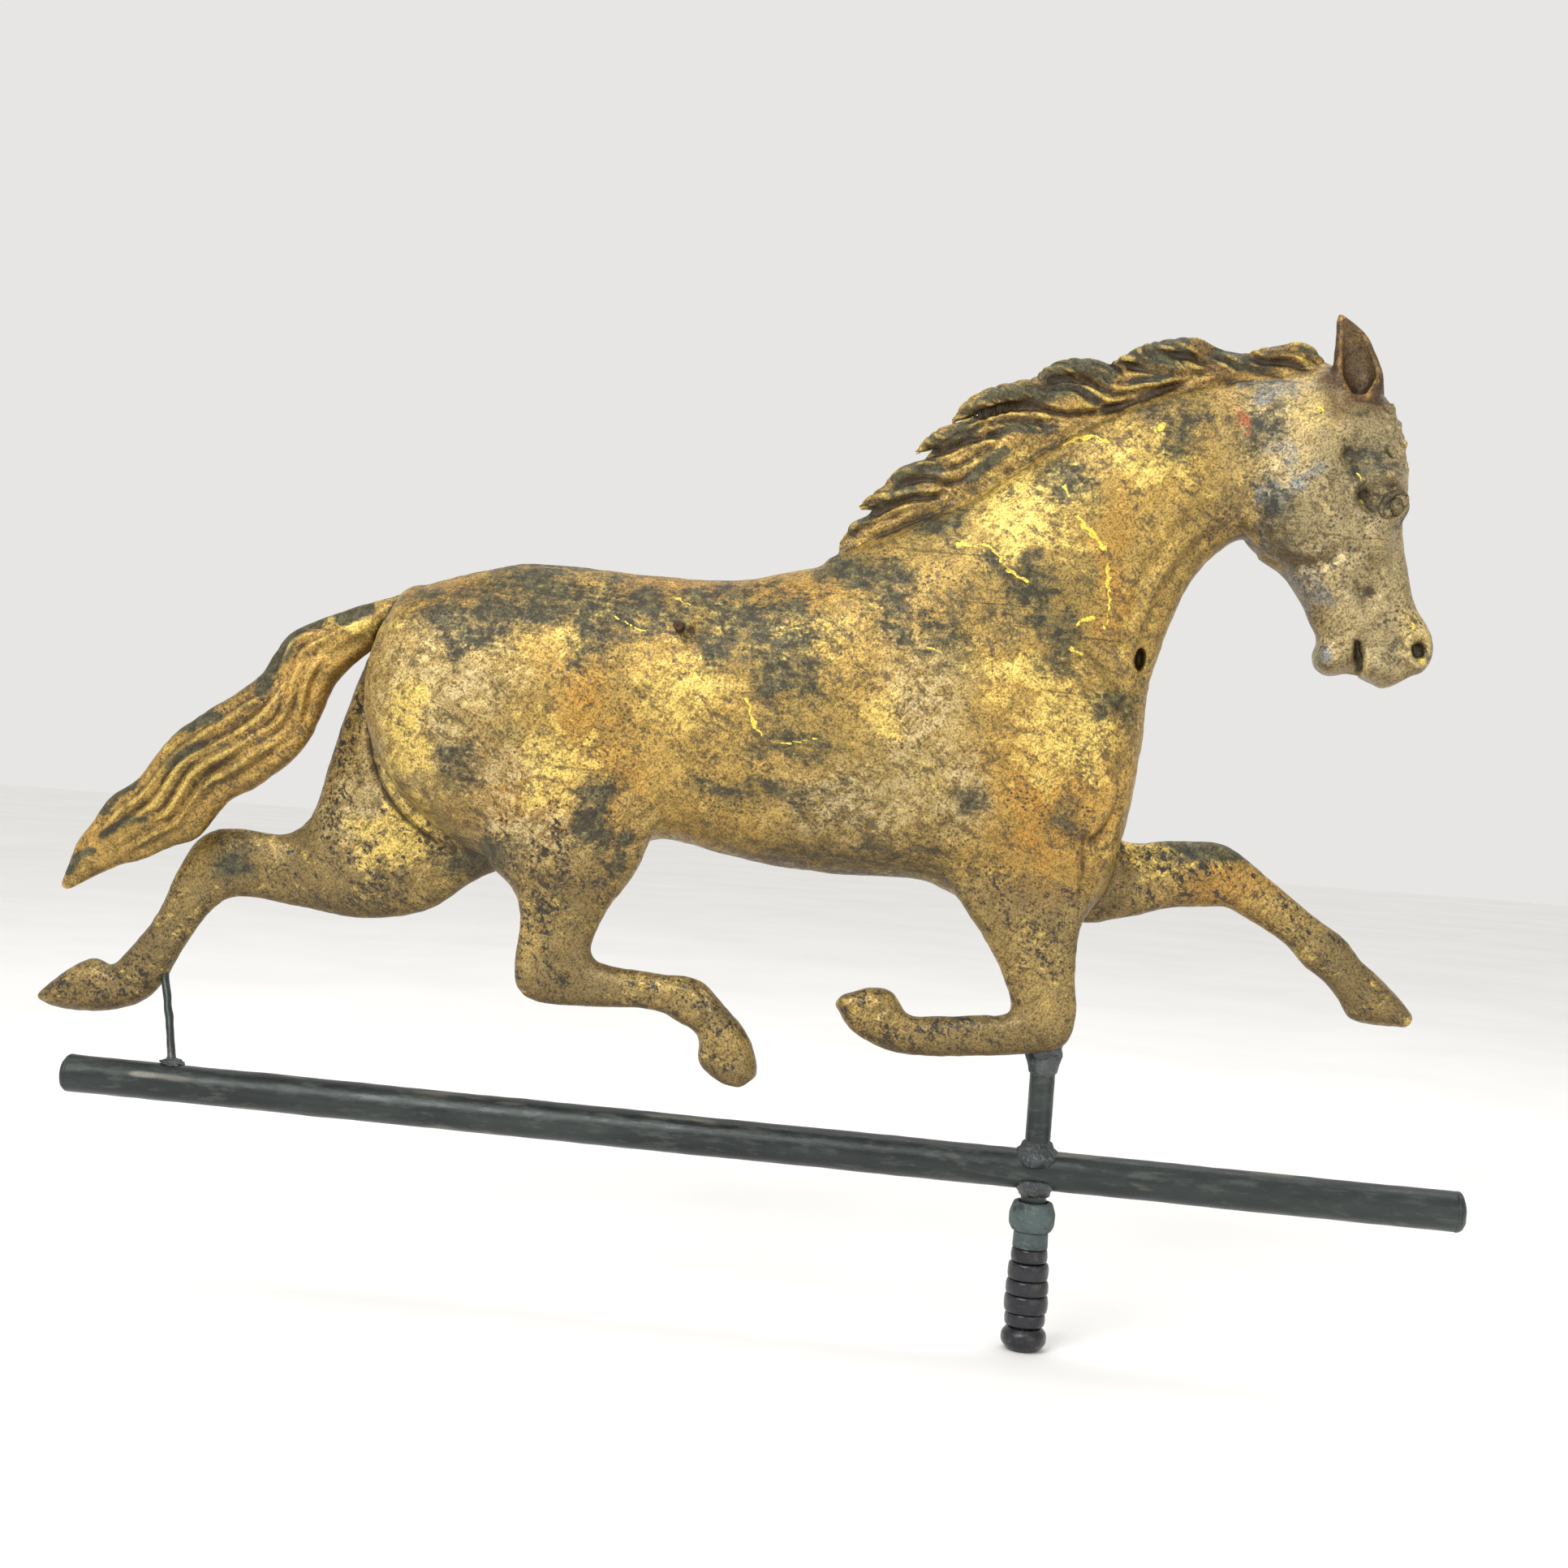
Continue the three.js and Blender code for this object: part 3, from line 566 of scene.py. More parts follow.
# Worn areas of the skin on the side seen: (x, z, half width, half height), for each kind.
PATCHES = {
    "green": [
        (-310, 398, 40, 10), (-245, 396, 46, 12), (-185, 402, 40, 12), (-200, 385, 8, 18),
        (-345, 385, 32, 17), (-300, 405, 40, 14), (-272, 388, 14, 26), (-232, 404, 60, 9),
        (-176, 395, 12, 22), (-160, 372, 20, 26), (-168, 400, 34, 10), (-150, 330, 26, 8),
        (-116, 425, 26, 12), (-96, 400, 8, 16), (-72, 395, 14, 16), (-28, 422, 22, 14), (-8, 398, 10, 26),
        (-35, 437, 18, 8), (48, 517, 17, 13), (20, 365, 20, 9), (-10, 485, 14, 14), (-78, 457, 10, 7),
        (148, 503, 13, 10), (152, 484, 8, 7), (176, 476, 2, 8), (-130, 262, 90, 5), (-330, 252, 22, 8),
        (-50, 306, 6, 8), (2, 298, 7, 9), (-262, 280, 12, 22), (-345, 305, 14, 12), (-165, 301, 50, 3),
        (-120, 272, 70, 3), (104, 470, 14, 22), (92, 520, 12, 16), (-488, 236, 9, 11), (-340, 250, 16, 6),
        (88, 288, 34, 4), (-247, 262, 6, 10),
    ],
    "gold": [
        (-374, 322, 9, 30), (-268, 400, 8, 10), (-286, 378, 10, 6), (-30, 468, 32, 28), (30, 500, 24, 12),
        (-216, 352, 26, 14), (-205, 402, 24, 4), (-150, 390, 26, 10), (-20, 375, 26, 10),
        (0, 345, 26, 26), (-282, 310, 22, 20), (122, 530, 9, 6), (46, 284, 20, 6), (-380, 262, 26, 18),
        (70, 285, 24, 6), (-420, 385, 30, 4), (-105, 350, 10, 10), (180, 412, 5, 9),
    ],
    "tan": [
        (-345, 405, 26, 6), (-205, 414, 62, 5), (-262, 300, 20, 36), (-275, 340, 10, 22),
        (-5, 310, 30, 40), (-20, 375, 20, 8), (16, 440, 5, 34), (-290, 290, 40, 20), (95, 268, 24, 14),
    ],
    "pale": [
        (-368, 335, 24, 42), (-345, 352, 30, 14), (-318, 300, 22, 20), (-82, 352, 20, 34),
        (-58, 312, 12, 22), (-300, 275, 30, 18), (-110, 300, 40, 16), (-400, 270, 22, 20),
        (130, 445, 14, 14),
    ],
    "red": [
        (82, 522, 1, 4),
    ],
    "zinc": [
        (100, 480, 8, 12), (118, 494, 8, 4), (102, 510, 8, 8), (92, 544, 16, 5), (117, 430, 5, 14),
        (134, 397, 4, 5), (98, 460, 8, 8), (84, 487, 8, 8), (112, 440, 4, 8), (122, 418, 4, 12),
    ],
    "brown": [
        (142, 536, 12, 5), (130, 550, 4, 8), (70, 557, 16, 3), (92, 557, 10, 3),
    ],
}
LEAF_EDGES = [
    (1.8, [(-7, 469), (2, 460), (9, 453), (14, 446)]),
    (1.2, [(14, 446), (16, 430), (17, 412), (15, 400)]),
    (1.2, [(-80, 449), (-64, 447), (-50, 446), (-44, 440), (-40, 434), (-30, 430), (-18, 422)]),
    (1.2, [(-182, 357), (-178, 348), (-174, 338), (-166, 332)]),
    (0.8, [(-162, 330), (-148, 331), (-134, 335)]),
    (1.2, [(-17, 503), (-8, 508), (4, 510), (12, 506)]),
    (1.2, [(-2, 404), (4, 409), (12, 411)]),
    (1.2, [(-4, 393), (6, 390)]),
    (1.6, [(-12, 484), (-9, 474)]),
    (1.0, [(37, 512), (36, 516), (38, 518), (39, 514)]),
    (0.7, [(-262, 396), (-248, 389), (-238, 387)]),
    (0.7, [(-228, 409), (-214, 402)]),
    (1.0, [(146, 500), (147, 492)]),
    (0.8, [(148, 486), (149, 476)]),
    (1.2, [(120, 534), (126, 528)]),
    (1.3, [(178, 420), (180, 414)]),
    (1.2, [(184, 399), (187, 397)]),
    (0.7, [(-82, 390), (-68, 384)]),
]


def blotch(points, patches):
    """1 inside the patches, falling smoothly to 0 at about one and a half times their size."""
    x, _, z = points.T
    best = np.zeros(len(points))
    for cx, cz, rx, rz in patches:
        rx, rz = rx + 4, rz + 4
        u, w = np.abs(x - cx) / rx, np.abs(z - cz) / rz
        d = np.maximum(u, w) * 0.4 + np.hypot(u, w) * 0.6
        best = np.maximum(best, np.clip(1.45 - d, 0, 1))
    return best


# The seam between neck and head: its x at the crest, how it leans, the crest's height and its lowest end.
SEAM_X, SEAM_LEAN, SEAM_TOP, SEAM_FOOT = 78, 0.2, 551, 380
# The head's tone fades in from this far behind the seam, over this length.
FADE_BEHIND, FADE_LENGTH = 23, 45


def past_seam(points):
    """How far in front of the seam points are, and whether they are high enough to be in the head."""
    x, _, z = points.T
    return x - SEAM_X - SEAM_LEAN * (SEAM_TOP - z), z > SEAM_FOOT


def paint(mesh, points, normals, hollow):
    """Stores where the skin is worn, and where shade and highlights are painted, as smooth masks that the
    materials break up.
    """
    points = on_plate(points)
    shift = points + 4 * three_waves(points, 26, 3)
    facing = np.clip(np.abs(normals[:, 1]) * 2.2 - 0.4, 0, 1)
    edges = [(0, w, 1.0, path) for w, path in LEAF_EDGES]
    bands = [(0, 1.4 * w, 1.9, path) for w, path in DARK_BANDS]
    masks = {kind: blotch(shift, patches) for kind, patches in PATCHES.items()}
    masks["green"] = np.maximum(masks["green"], facing * stroke_depth(points, bands))
    # hollow: grooves get grime and painted shade, edges get rubbed wear and a painted highlight
    masks["hollow"] = hollow
    ahead, high = past_seam(points)
    masks["head"] = np.clip((ahead + FADE_BEHIND) / FADE_LENGTH, 0, 1) * high
    masks["top"] = np.clip(normals[:, 2] * 1.4 - 0.25, 0, 1)
    # downward-facing mask, used for painted shade with some grime on the underside
    masks["under"] = np.clip(-normals[:, 2] * 1.5 - 0.1, 0, 1)
    masks["leaf"] = np.clip(stroke_depth(points + 0.8 * waves(points, 6, 9)[:, None], edges), 0, 1)
    for name, values in masks.items():
        layer = mesh.attributes.new(name, "FLOAT", "POINT")
        layer.data.foreach_set("value", values.astype(np.float32))


def mesh_object(name, points, quads, normals=None, hollow=None):
    """A piece from points in millimetres; hollow asks for the masks of worn skin, grime, painted shade and
    painted highlights.
    """
    used = np.unique(quads)
    renumber = np.zeros(len(points), int)
    renumber[used] = np.arange(len(used))
    mesh = bpy.data.meshes.new(name)
    mesh.vertices.add(len(used))
    mesh.vertices.foreach_set("co", (points[used] * MM).astype(np.float32).ravel())
    mesh.loops.add(quads.size)
    mesh.loops.foreach_set("vertex_index", renumber[quads].astype(np.int32).ravel())
    mesh.polygons.add(len(quads))
    mesh.polygons.foreach_set("loop_start", np.arange(0, quads.size, quads.shape[1], dtype=np.int32))
    mesh.update(calc_edges=True)
    mesh.polygons.foreach_set("use_smooth", np.ones(len(quads), bool))
    if normals is not None:
        mesh.normals_split_custom_set_from_vertices(normals[used].astype(np.float32))
    if hollow is not None:
        paint(mesh, points[used], normals[used], hollow[used])
    piece = bpy.data.objects.new(name, mesh)
    bpy.context.scene.collection.objects.link(piece)
    return piece


# ---------------------------------------------------------------- materials
def node_material(name):
    material = bpy.data.materials.new(name)
    material.use_nodes = True
    tree = material.node_tree
    return material, tree, tree.nodes["Principled BSDF"]


# How far a single octave of noise is stretched either side of its middle.
NOISE_REACH = 0.275


class Graph:
    """Short names for the nodes a material needs."""

    def __init__(self, tree):
        self.tree = tree
        self.place = self.add("ShaderNodeTexCoord").outputs["Object"]

    def add(self, kind, **values):
        node = self.tree.nodes.new(kind)
        for key, value in values.items():
            setattr(node, key, value)
        return node

    def put(self, socket, value):
        if isinstance(value, bpy.types.NodeSocket):
            self.tree.links.new(value, socket)
        else:
            socket.default_value = value

    def wired(self, kind, output, sockets, **values):
        """The output of a new node whose sockets hold numbers, colours or other nodes' outputs."""
        node = self.add(kind, **values)
        for key, value in sockets.items():
            self.put(node.inputs[key], value)
        return node.outputs[output]

    def scaled(self, x, y, z, turn=0.0):
        """The place turned in the side plane, then scaled."""
        sockets = {"Vector": self.place, "Rotation": (0, turn, 0), "Scale": (1 / x, 1 / y, 1 / z)}
        return self.wired("ShaderNodeMapping", "Vector", sockets, vector_type="TEXTURE")

    def noise(self, scale, detail=4.0, rough=0.6, at=None, warp=0.0):
        """Noise stretched so that half of it is under 0.5 and most lies between 0 and 1."""
        sockets = {"Vector": at or self.place, "Scale": scale, "Detail": detail, "Roughness": rough,
                   "Distortion": warp}
        value = self.wired("ShaderNodeTexNoise", "Fac", sockets)
        weights = [rough**k for k in range(int(detail) + 1)]
        reach = NOISE_REACH * math.sqrt(sum(w * w for w in weights)) / sum(weights)
        sockets = {"Value": value, "From Min": 0.5 - reach, "From Max": 0.5 + reach}
        return self.wired("ShaderNodeMapRange", "Result", sockets, clamp=False)

    def cells(self, scale, feature="F1"):
        sockets = {"Vector": self.place, "Scale": scale}
        return self.wired("ShaderNodeTexVoronoi", "Distance", sockets, feature=feature)

    def mask(self, name):
        return self.wired("ShaderNodeAttribute", "Fac", {}, attribute_name=name)

    def ramp(self, value, low, high, start=0.0, end=1.0):
        sockets = {"Value": value, "From Min": low, "From Max": high, "To Min": start, "To Max": end}
        return self.wired("ShaderNodeMapRange", "Result", sockets, interpolation_type="SMOOTHSTEP")

    def math(self, kind, a, b):
        return self.wired("ShaderNodeMath", 0, {0: a, 1: b}, operation=kind)

    def times(self, a, b):
        """The product of two values, kept between 0 and 1."""
        return self.wired("ShaderNodeMath", 0, {0: a, 1: b}, operation="MULTIPLY", use_clamp=True)

    def total(self, *terms):
        """The sum of (value, weight) pairs and of values alone."""
        values = [self.math("MULTIPLY", *term) if isinstance(term, tuple) else term for term in terms]
        result = values[0]
        for value in values[1:]:
            result = self.math("ADD", result, value)
        return result

    def blend(self, amount, a, b, kind="MIX"):
        sockets = {"Factor": amount, "A": a, "B": b}
        return self.wired("ShaderNodeMix", "Result", sockets, data_type="RGBA", blend_type=kind)

    def bump(self, height, distance, strength, under=None):
        sockets = {"Height": height, "Distance": distance, "Strength": strength}
        if under is not None:
            sockets["Normal"] = under
        return self.wired("ShaderNodeBump", "Normal", sockets)


def tone(red, green, blue):
    """A screen colour, 0 to 255, as a linear one."""
    return tuple((v / 255) ** 2.2 for v in (red, green, blue)) + (1.0,)


BODY_TONES = ((206, 170, 92), (168, 142, 80))
HEAD_TONES = ((214, 190, 134), (170, 154, 114))


def gilt(name, base=None, second=None, dark=(66, 56, 36), shine=(246, 214, 116), green=(82, 84, 60),
         greenness=0.0, topness=0.0, speckle=0.75, grey=None, groove=(56, 44, 28)):
    """Old gold leaf over metal: drifting tone, speckle, cracks, worn green-grey areas, grime, painted shade
    in grooves and underneath, and painted highlights on edges.
    """
    material, tree, shader = node_material(name)
    g = Graph(tree)
    drift = g.noise(13, 5, 0.6, warp=0.5)
    grain = g.noise(420, 4, 0.65, warp=0.3)
    fleck = g.noise(170, 5, 0.7, warp=0.4)
    hatch = g.noise(140, 5, 0.72, at=g.scaled(0.7, 1, 1.45, 0.6), warp=0.7)
    cross = g.noise(160, 5, 0.72, at=g.scaled(0.65, 1, 1.5, -0.8), warp=0.7)
    combed = g.noise(200, 5, 0.65, at=g.scaled(0.22, 1, 2.6, 0.04), warp=0.3)
    brushed = g.noise(60, 6, 0.75, at=g.scaled(0.7, 1.4, 1.5, 0.1), warp=0.6)
    mottle = g.total((hatch, 0.5), (cross, 0.5))
    if base:
        light, deep = tone(*base), tone(*second)
    else:
        light, deep = (g.blend(g.mask("head"), tone(*a), tone(*b)) for a, b in zip(BODY_TONES, HEAD_TONES))
    colour = g.blend(g.ramp(drift, 0.1, 0.9), light, deep)
    tan = g.math("MULTIPLY", g.mask("tan"), g.ramp(brushed, 0.1, 0.8, 0.35, 0.9))
    colour = g.blend(tan, colour, tone(206, 152, 66))
    pale = g.math("MULTIPLY", g.mask("pale"), g.ramp(mottle, 0.3, 0.8, 0.15, 0.85))
    colour = g.blend(pale, colour, tone(216, 196, 146))
    # leaf still bright: flecks everywhere, whole areas where the mask is high
    leafy = g.total((g.mask("gold"), 0.5), (brushed, 0.45), (mottle, 0.55))
    colour = g.blend(g.ramp(leafy, 0.64, 1.1, 0, 0.95), colour, tone(*shine))
    if grey:
        amount = g.ramp(g.total(g.mask("zinc"), (g.noise(24, 5, 0.7, warp=0.6), 0.6)), 0.5, 1.25, 0, 0.85)
        colour = g.blend(g.math("MULTIPLY", amount, g.ramp(fleck, 0.1, 0.7, 0.4, 1)), colour, tone(*grey))
    brown = g.times(g.mask("brown"), g.ramp(mottle, 0.0, 0.8, 0.5, 1))
    colour = g.blend(brown, colour, tone(104, 78, 56))
    # veils of dark hatching, then dark flecks between the grains
    veil = g.ramp(g.total(cross, (drift, 0.5)), 0.85, 0.25, 0, 0.62)
    colour = g.blend(g.times(veil, speckle), colour, tone(112, 94, 52))
    dust = g.ramp(g.total((hatch, 0.5), (grain, 0.5), (g.noise(26, 4, 0.65), 0.3)), 0.64, 0.3)
    colour = g.blend(g.times(dust, speckle), colour, tone(*dark))
    # bare green-grey metal where the leaf is lost, broken up by what is left of the gold
    patina = g.total((g.mask("green"), 0.85), (g.mask("top"), topness), (grain, 0.42), (fleck, 0.42),
                     (brushed, 0.5), (combed, 0.3))
    patina = g.ramp(patina, 1.08 - greenness, 1.9 - greenness, 0, 0.93)
    bare = g.blend(g.ramp(fleck, 0.2, 0.8), tone(*green), tone(42, 42, 32))
    colour = g.blend(patina, colour, bare)
    # pits and dots in clusters, cracks, scratches, and painted shade with some grime darkening the
    # underside
    dots = g.times(g.ramp(g.cells(330), 0.34, 0.2), g.ramp(g.noise(22, 3, 0.6), 0.5, 0.9))
    colour = g.blend(g.math("MULTIPLY", dots, 0.85), colour, tone(48, 36, 34))
    crack = g.ramp(g.cells(120, "DISTANCE_TO_EDGE"), 0.0, 0.035, 0.55, 0)
    crack = g.math("MULTIPLY", crack, g.ramp(g.noise(15, 3), 0.55, 0.95))
    colour = g.blend(crack, colour, tone(*dark))
    scratch = g.ramp(g.noise(60, 2, 0.5, at=g.scaled(0.1, 1, 6, 0.03)), 1.0, 1.2, 0, 0.5)
    colour = g.blend(scratch, colour, tone(62, 48, 28))
    # underside darkened: painted shade, with some grime
    under = g.times(g.mask("under"), g.ramp(mottle, 0.0, 1.0, 0.65, 0.35))
    colour = g.blend(under, colour, tone(92, 72, 40))
    # grime and painted shade in the grooves, leaf rubbed bright on the edges with a painted highlight
    # there, torn leaf and red primer
    # grooves darkened by the hollow mask: partly grime, partly painted shade
    grime_and_shade = g.ramp(g.total(g.mask("hollow"), (fleck, 0.3)), 0.25, 0.85, 0, 0.92)
    colour = g.blend(grime_and_shade, colour, tone(*groove))
    # edges lightened to the shine colour: leaf rubbed bright, plus a painted highlight on convex edges
    rubbed_and_highlight = g.ramp(g.total((fleck, 0.4), (g.mask("hollow"), -1)), 0.5, 1.05, 0, 0.55)
    colour = g.blend(rubbed_and_highlight, colour, tone(*shine))
    leaf = g.total(g.mask("leaf"), (fleck, 0.45))
    colour = g.blend(g.ramp(leaf, 0.78, 0.95), colour, tone(250, 222, 92))
    red = g.times(g.mask("red"), g.ramp(g.total(fleck, mottle), 0.8, 1.25))
    colour = g.blend(red, colour, tone(172, 98, 60))
    sand = g.blend(g.ramp(g.noise(900, 3, 0.6), 0.1, 0.7), tone(172, 160, 140), tone(255, 255, 255))
    colour = g.blend(0.85, colour, sand, "MULTIPLY")
    g.put(shader.inputs["Base Color"], colour)
    worn = g.math("MAXIMUM", patina, g.math("MAXIMUM", dust, dots))
    g.put(shader.inputs["Metallic"], g.ramp(worn, 0, 1, 0.55, 0.15))
    g.put(shader.inputs["Roughness"], g.ramp(g.total(grain, (patina, 0.4)), 0.1, 1.2, 0.34, 0.6))
    relief = g.bump(g.noise(45, 4, 0.6), 0.0008, 0.3)
    relief = g.bump(fleck, 0.0004, 0.35, relief)
    g.put(shader.inputs["Normal"], g.bump(grain, 0.00025, 0.35, relief))
    return material


def plain_metal(name, colours, rough, metallic, scale, relief=0.0003, streak=(1, 1, 1)):
    """Metal or rubber of one tone: two colours drifting, then specks and spots of two more."""
    material, tree, shader = node_material(name)
    g = Graph(tree)
    at = g.scaled(*streak)
    big = g.noise(scale * 0.3, 5, 0.6, at=at, warp=0.6)
    small = g.noise(scale * 3, 5, 0.7, at=at)
    colour = g.blend(g.ramp(big, 0.1, 0.9), tone(*colours[0]), tone(*colours[1]))
    colour = g.blend(g.ramp(small, 0.5, 1.1, 0, 0.75), colour, tone(*colours[2]))
    spots = g.ramp(g.noise(scale * 1.3, 3, 0.5, at=at), 0.8, 1.05, 0, 0.8)
    colour = g.blend(spots, colour, tone(*colours[3]))
    g.put(shader.inputs["Base Color"], colour)
    shader.inputs["Metallic"].default_value = metallic
    g.put(shader.inputs["Roughness"], g.ramp(small, 0, 1, rough - 0.1, rough + 0.12))
    g.put(shader.inputs["Normal"], g.bump(small, relief * 0.4, 0.5, g.bump(big, relief * 2, 0.3)))
    return material


SKIN = gilt("gilt_skin", topness=0.22)
TAIL_SKIN = gilt("gilt_tail", base=(212, 170, 92), second=(164, 136, 74), topness=0.5, groove=(60, 48, 30))
MANE_SKIN = gilt("gilt_mane", base=(194, 158, 88), second=(146, 120, 68), topness=0.45, groove=(58, 46, 30))
HEAD_SKIN = gilt("gilt_head", grey=(128, 140, 150), shine=(222, 196, 128), groove=(64, 56, 42))
EYE_SKIN = gilt("gilt_eye", base=(176, 150, 98), second=(132, 116, 82), speckle=0.6, groove=(50, 44, 34))
LEG_SKIN = gilt("gilt_leg", base=(192, 164, 100), second=(132, 114, 76), dark=(48, 42, 34),
                speckle=1.0, topness=0.2, greenness=0.12)
HOOF_SKIN = gilt("gilt_hoof", base=(190, 160, 96), second=(126, 108, 72), dark=(48, 42, 34),
                 speckle=1.0, greenness=0.16)
EAR_SKIN = gilt("ear_skin", base=(100, 80, 58), second=(70, 56, 44), shine=(190, 150, 80),
                green=(58, 54, 50), greenness=0.15, groove=(34, 27, 24))
TUBE_SKIN = plain_metal("tube_skin", ((60, 66, 64), (46, 50, 50), (78, 82, 78), (98, 96, 86)),
                        0.36, 0.5, 60, streak=(0.25, 1, 1))
SOLDER_SKIN = plain_metal("solder_skin", ((88, 92, 92), (62, 66, 68), (116, 118, 114), (52, 52, 50)),
                          0.45, 0.6, 160, 0.0006)
STEEL_SKIN = plain_metal("steel_skin", ((116, 110, 102), (88, 84, 80), (140, 136, 128), (86, 60, 44)),
                         0.42, 0.85, 120)
BLACK_SKIN = plain_metal("black_rubber", ((36, 37, 42), (22, 22, 26), (52, 50, 52), (66, 58, 52)),
                         0.24, 0.0, 110)
GREY_SKIN = plain_metal("grey_rubber", ((74, 88, 88), (58, 68, 68), (100, 108, 102), (46, 48, 46)),
                        0.6, 0.0, 130)
SCREW_SKIN = plain_metal("screw_skin", ((84, 60, 48), (56, 42, 36), (112, 80, 60), (40, 30, 28)),
                         0.55, 0.6, 200, 0.0006)
# The material and slot of the horse's pieces whose names start so; the legs have their own.
LOOKS = {
    "body_shell": (SKIN, "gilt_copper"), "head": (HEAD_SKIN, "head_zinc"),
    "mane": (MANE_SKIN, "mane_copper"), "ear": (EAR_SKIN, "ear_metal"), "tail": (TAIL_SKIN, "tail_copper"),
}


def look_of(name):
    if name.endswith("_hoof"):
        return HOOF_SKIN, "hoof_copper"
    for start, look in LOOKS.items():
        if name.startswith(start):
            return look
    return LEG_SKIN, "leg_copper"


def dress(piece, material):
    """Gives a piece one material."""
    piece.data.materials.clear()
    piece.data.materials.append(material)


def fit(piece, material, slot, body, *nodes):
    """Dresses a piece, hangs it on the body it rides on and hides the CAD nodes it replaces; slot is not
    used.
    """
    dress(piece, material)
    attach(piece, body)
    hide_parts(*nodes)


# ---------------------------------------------------------------- the horse
def sample(part, points):
    """The value of a part's field at points, or BAND outside its window."""
    a, array = part
    index = np.round(points / VOXEL).astype(int) - a
    inside = np.all((index >= 0) & (index < np.array(array.shape)), axis=1)
    out = np.full(len(points), BAND)
    i = index[inside]
    out[inside] = array[i[:, 0], i[:, 1], i[:, 2]]
    return out


def ridge_height(x):
    """The height of the neck's crest, where the mane starts."""
    return np.interp(x, *zip(*RIDGE))


# How the hair lies along the neck, as (x, degrees), and the width of one lock of it.
HAIR_LAY = [(-135, 42), (-60, 34), (0, 20), (60, 4), (110, -12)]
COMB_PITCH = 5.2
MANE_FOOT, EAR_ROOT, TAIL_ROOT, LOWEST_SKIN = 440, 537, -393, 134
HOOF_REACH = 62


def hair_depth(points):
    """The combed relief of the mane."""
    x, _, z = points.T
    combed = (x > -145) & (x < 126)
    combed = combed * np.clip((z - ridge_height(x) - 1) / 4, 0, 1) * (z > MANE_FOOT)
    lay = np.radians(np.interp(x, *zip(*HAIR_LAY)))
    across = z * np.cos(lay) - x * np.sin(lay) + 2.2 * waves(points, 24, 15)
    return 0.75 * combed * (0.5 + 0.5 * np.sin(across * 2 * math.pi / COMB_PITCH)) ** 2


def forelock_depth(points):
    """Small curls on the forehead."""
    x, _, z = points.T
    curls = np.clip((x - 156) / 6, 0, 1) * np.clip((z - 500) / 8, 0, 1) * (z < 540)
    return 1.1 * curls * waves(points, 7, 13)


def make_horse():
    field, parts = build_horse()
    grid = openvdb.FloatGrid(float(BAND))
    grid.copyFromArray(field, ijk=tuple(int(v) for v in FIELD_LOW))
    grid.transform = openvdb.createLinearTransform(VOXEL)
    points, quads = grid.convertToQuads()
    points = points.astype(float)
    quads = quads.astype(int)
    normals = vertex_normals(points, quads)
    if (normals[:, 1] * points[:, 1]).sum() < 0:
        quads = quads[:, ::-1]
        normals = -normals
    grooves = [(0, 1.9, deep, path) for deep, path in MANE_GROOVES]
    depth = stroke_depth(on_plate(points), STROKES + grooves) + stroke_depth(points, tail_strokes())
    depth *= np.clip(np.abs(normals[:, 1]) * 1.6, 0.0, 1.0)
    depth += hair_depth(points)
    depth += 0.25 * waves(points, 30, 11) + 0.1 * waves(points, 9, 12)
    depth += forelock_depth(points)
    points = points - normals * depth[:, None]
    points[:, 2] = np.maximum(points[:, 2], LOWEST_SKIN)
    normals = vertex_normals(points, quads)
    hollow = hollowness(points, normals, quads)

    # each face goes to the piece whose part of the field is nearest
    middle = points[quads].mean(1)
    near = {name: sample(part, middle) for name, part in parts.items()}
    x, y, z = middle.T
    body = np.minimum(near["body"], near["neck"])
    right = y < 0
    label = np.where(right, "body_shell_right", "body_shell_left").astype("<U28")
    ahead, high = past_seam(middle)
    in_head = (ahead > 0) & high
    in_mane = (z > ridge_height(x) - 1) & (x > -140) & (x < 128) & (z > MANE_FOOT) & (near["mane"] < 9)
    in_tail = (near["tail"] < np.minimum(body, near["hind_leg_left"])) & (x < TAIL_ROOT)
    for word, here in (("right", right), ("left", ~right)):
        label[in_head & here] = "head_casting_" + word
        label[in_mane & here] = "mane_" + word
        label[(near["ear_" + word] < 2.0) & here & (z > EAR_ROOT)] = "ear_" + word
        label[in_tail & here] = "tail_" + word
    for name, (ribs, offset, hoof_rib) in LEGS.items():
        mine = (near[name] < body) & ~in_tail
        mine &= near[name] <= np.minimum.reduce([near[other] for other in LEGS])
        outer = np.abs(y) > abs(offset)
        label[mine & outer] = name + "_outer"
        label[mine & ~outer] = name + "_inner"
        x1, z1, x2, z2, _ = ribs[hoof_rib]
        nx, nz = z2 - z1, -(x2 - x1)
        toe = ribs[-1]
        if (toe[0] - x1) * nx + (toe[1] - z1) * nz < 0:
            nx, nz = -nx, -nz
        beyond = (x - x1) * nx + (z - z1) * nz > 0
        close = np.hypot(x - toe[0], z - toe[1]) < HOOF_REACH
        label[mine & beyond & close] = name + "_hoof"

    for name in sorted(set(label)):
        piece = mesh_object(name + "_skin", points, quads[label == name], normals, hollow)
        material, slot = look_of(name)
        fit(piece, material, slot, "vane", name)
    return points


SKIN_POINTS = make_horse()


# ---------------------------------------------------------------- turned and swept pieces
ALONG, ACROSS, UP = np.eye(3)
# The radius of the small rings that stand for points on the axis.
TIP = 0.02


def skin_of(rings):
    """A mesh over rings of equal length, in millimetres."""
    rings = np.array(rings, float)
    return rings.reshape(-1, 3), ring_quads(*rings.shape[:2])


def ring_at(centre, radius, angle, side, other):
    """A ring about centre, with side and other as its two unit axes."""
    return centre + radius * (np.cos(angle)[:, None] * side + np.sin(angle)[:, None] * other)


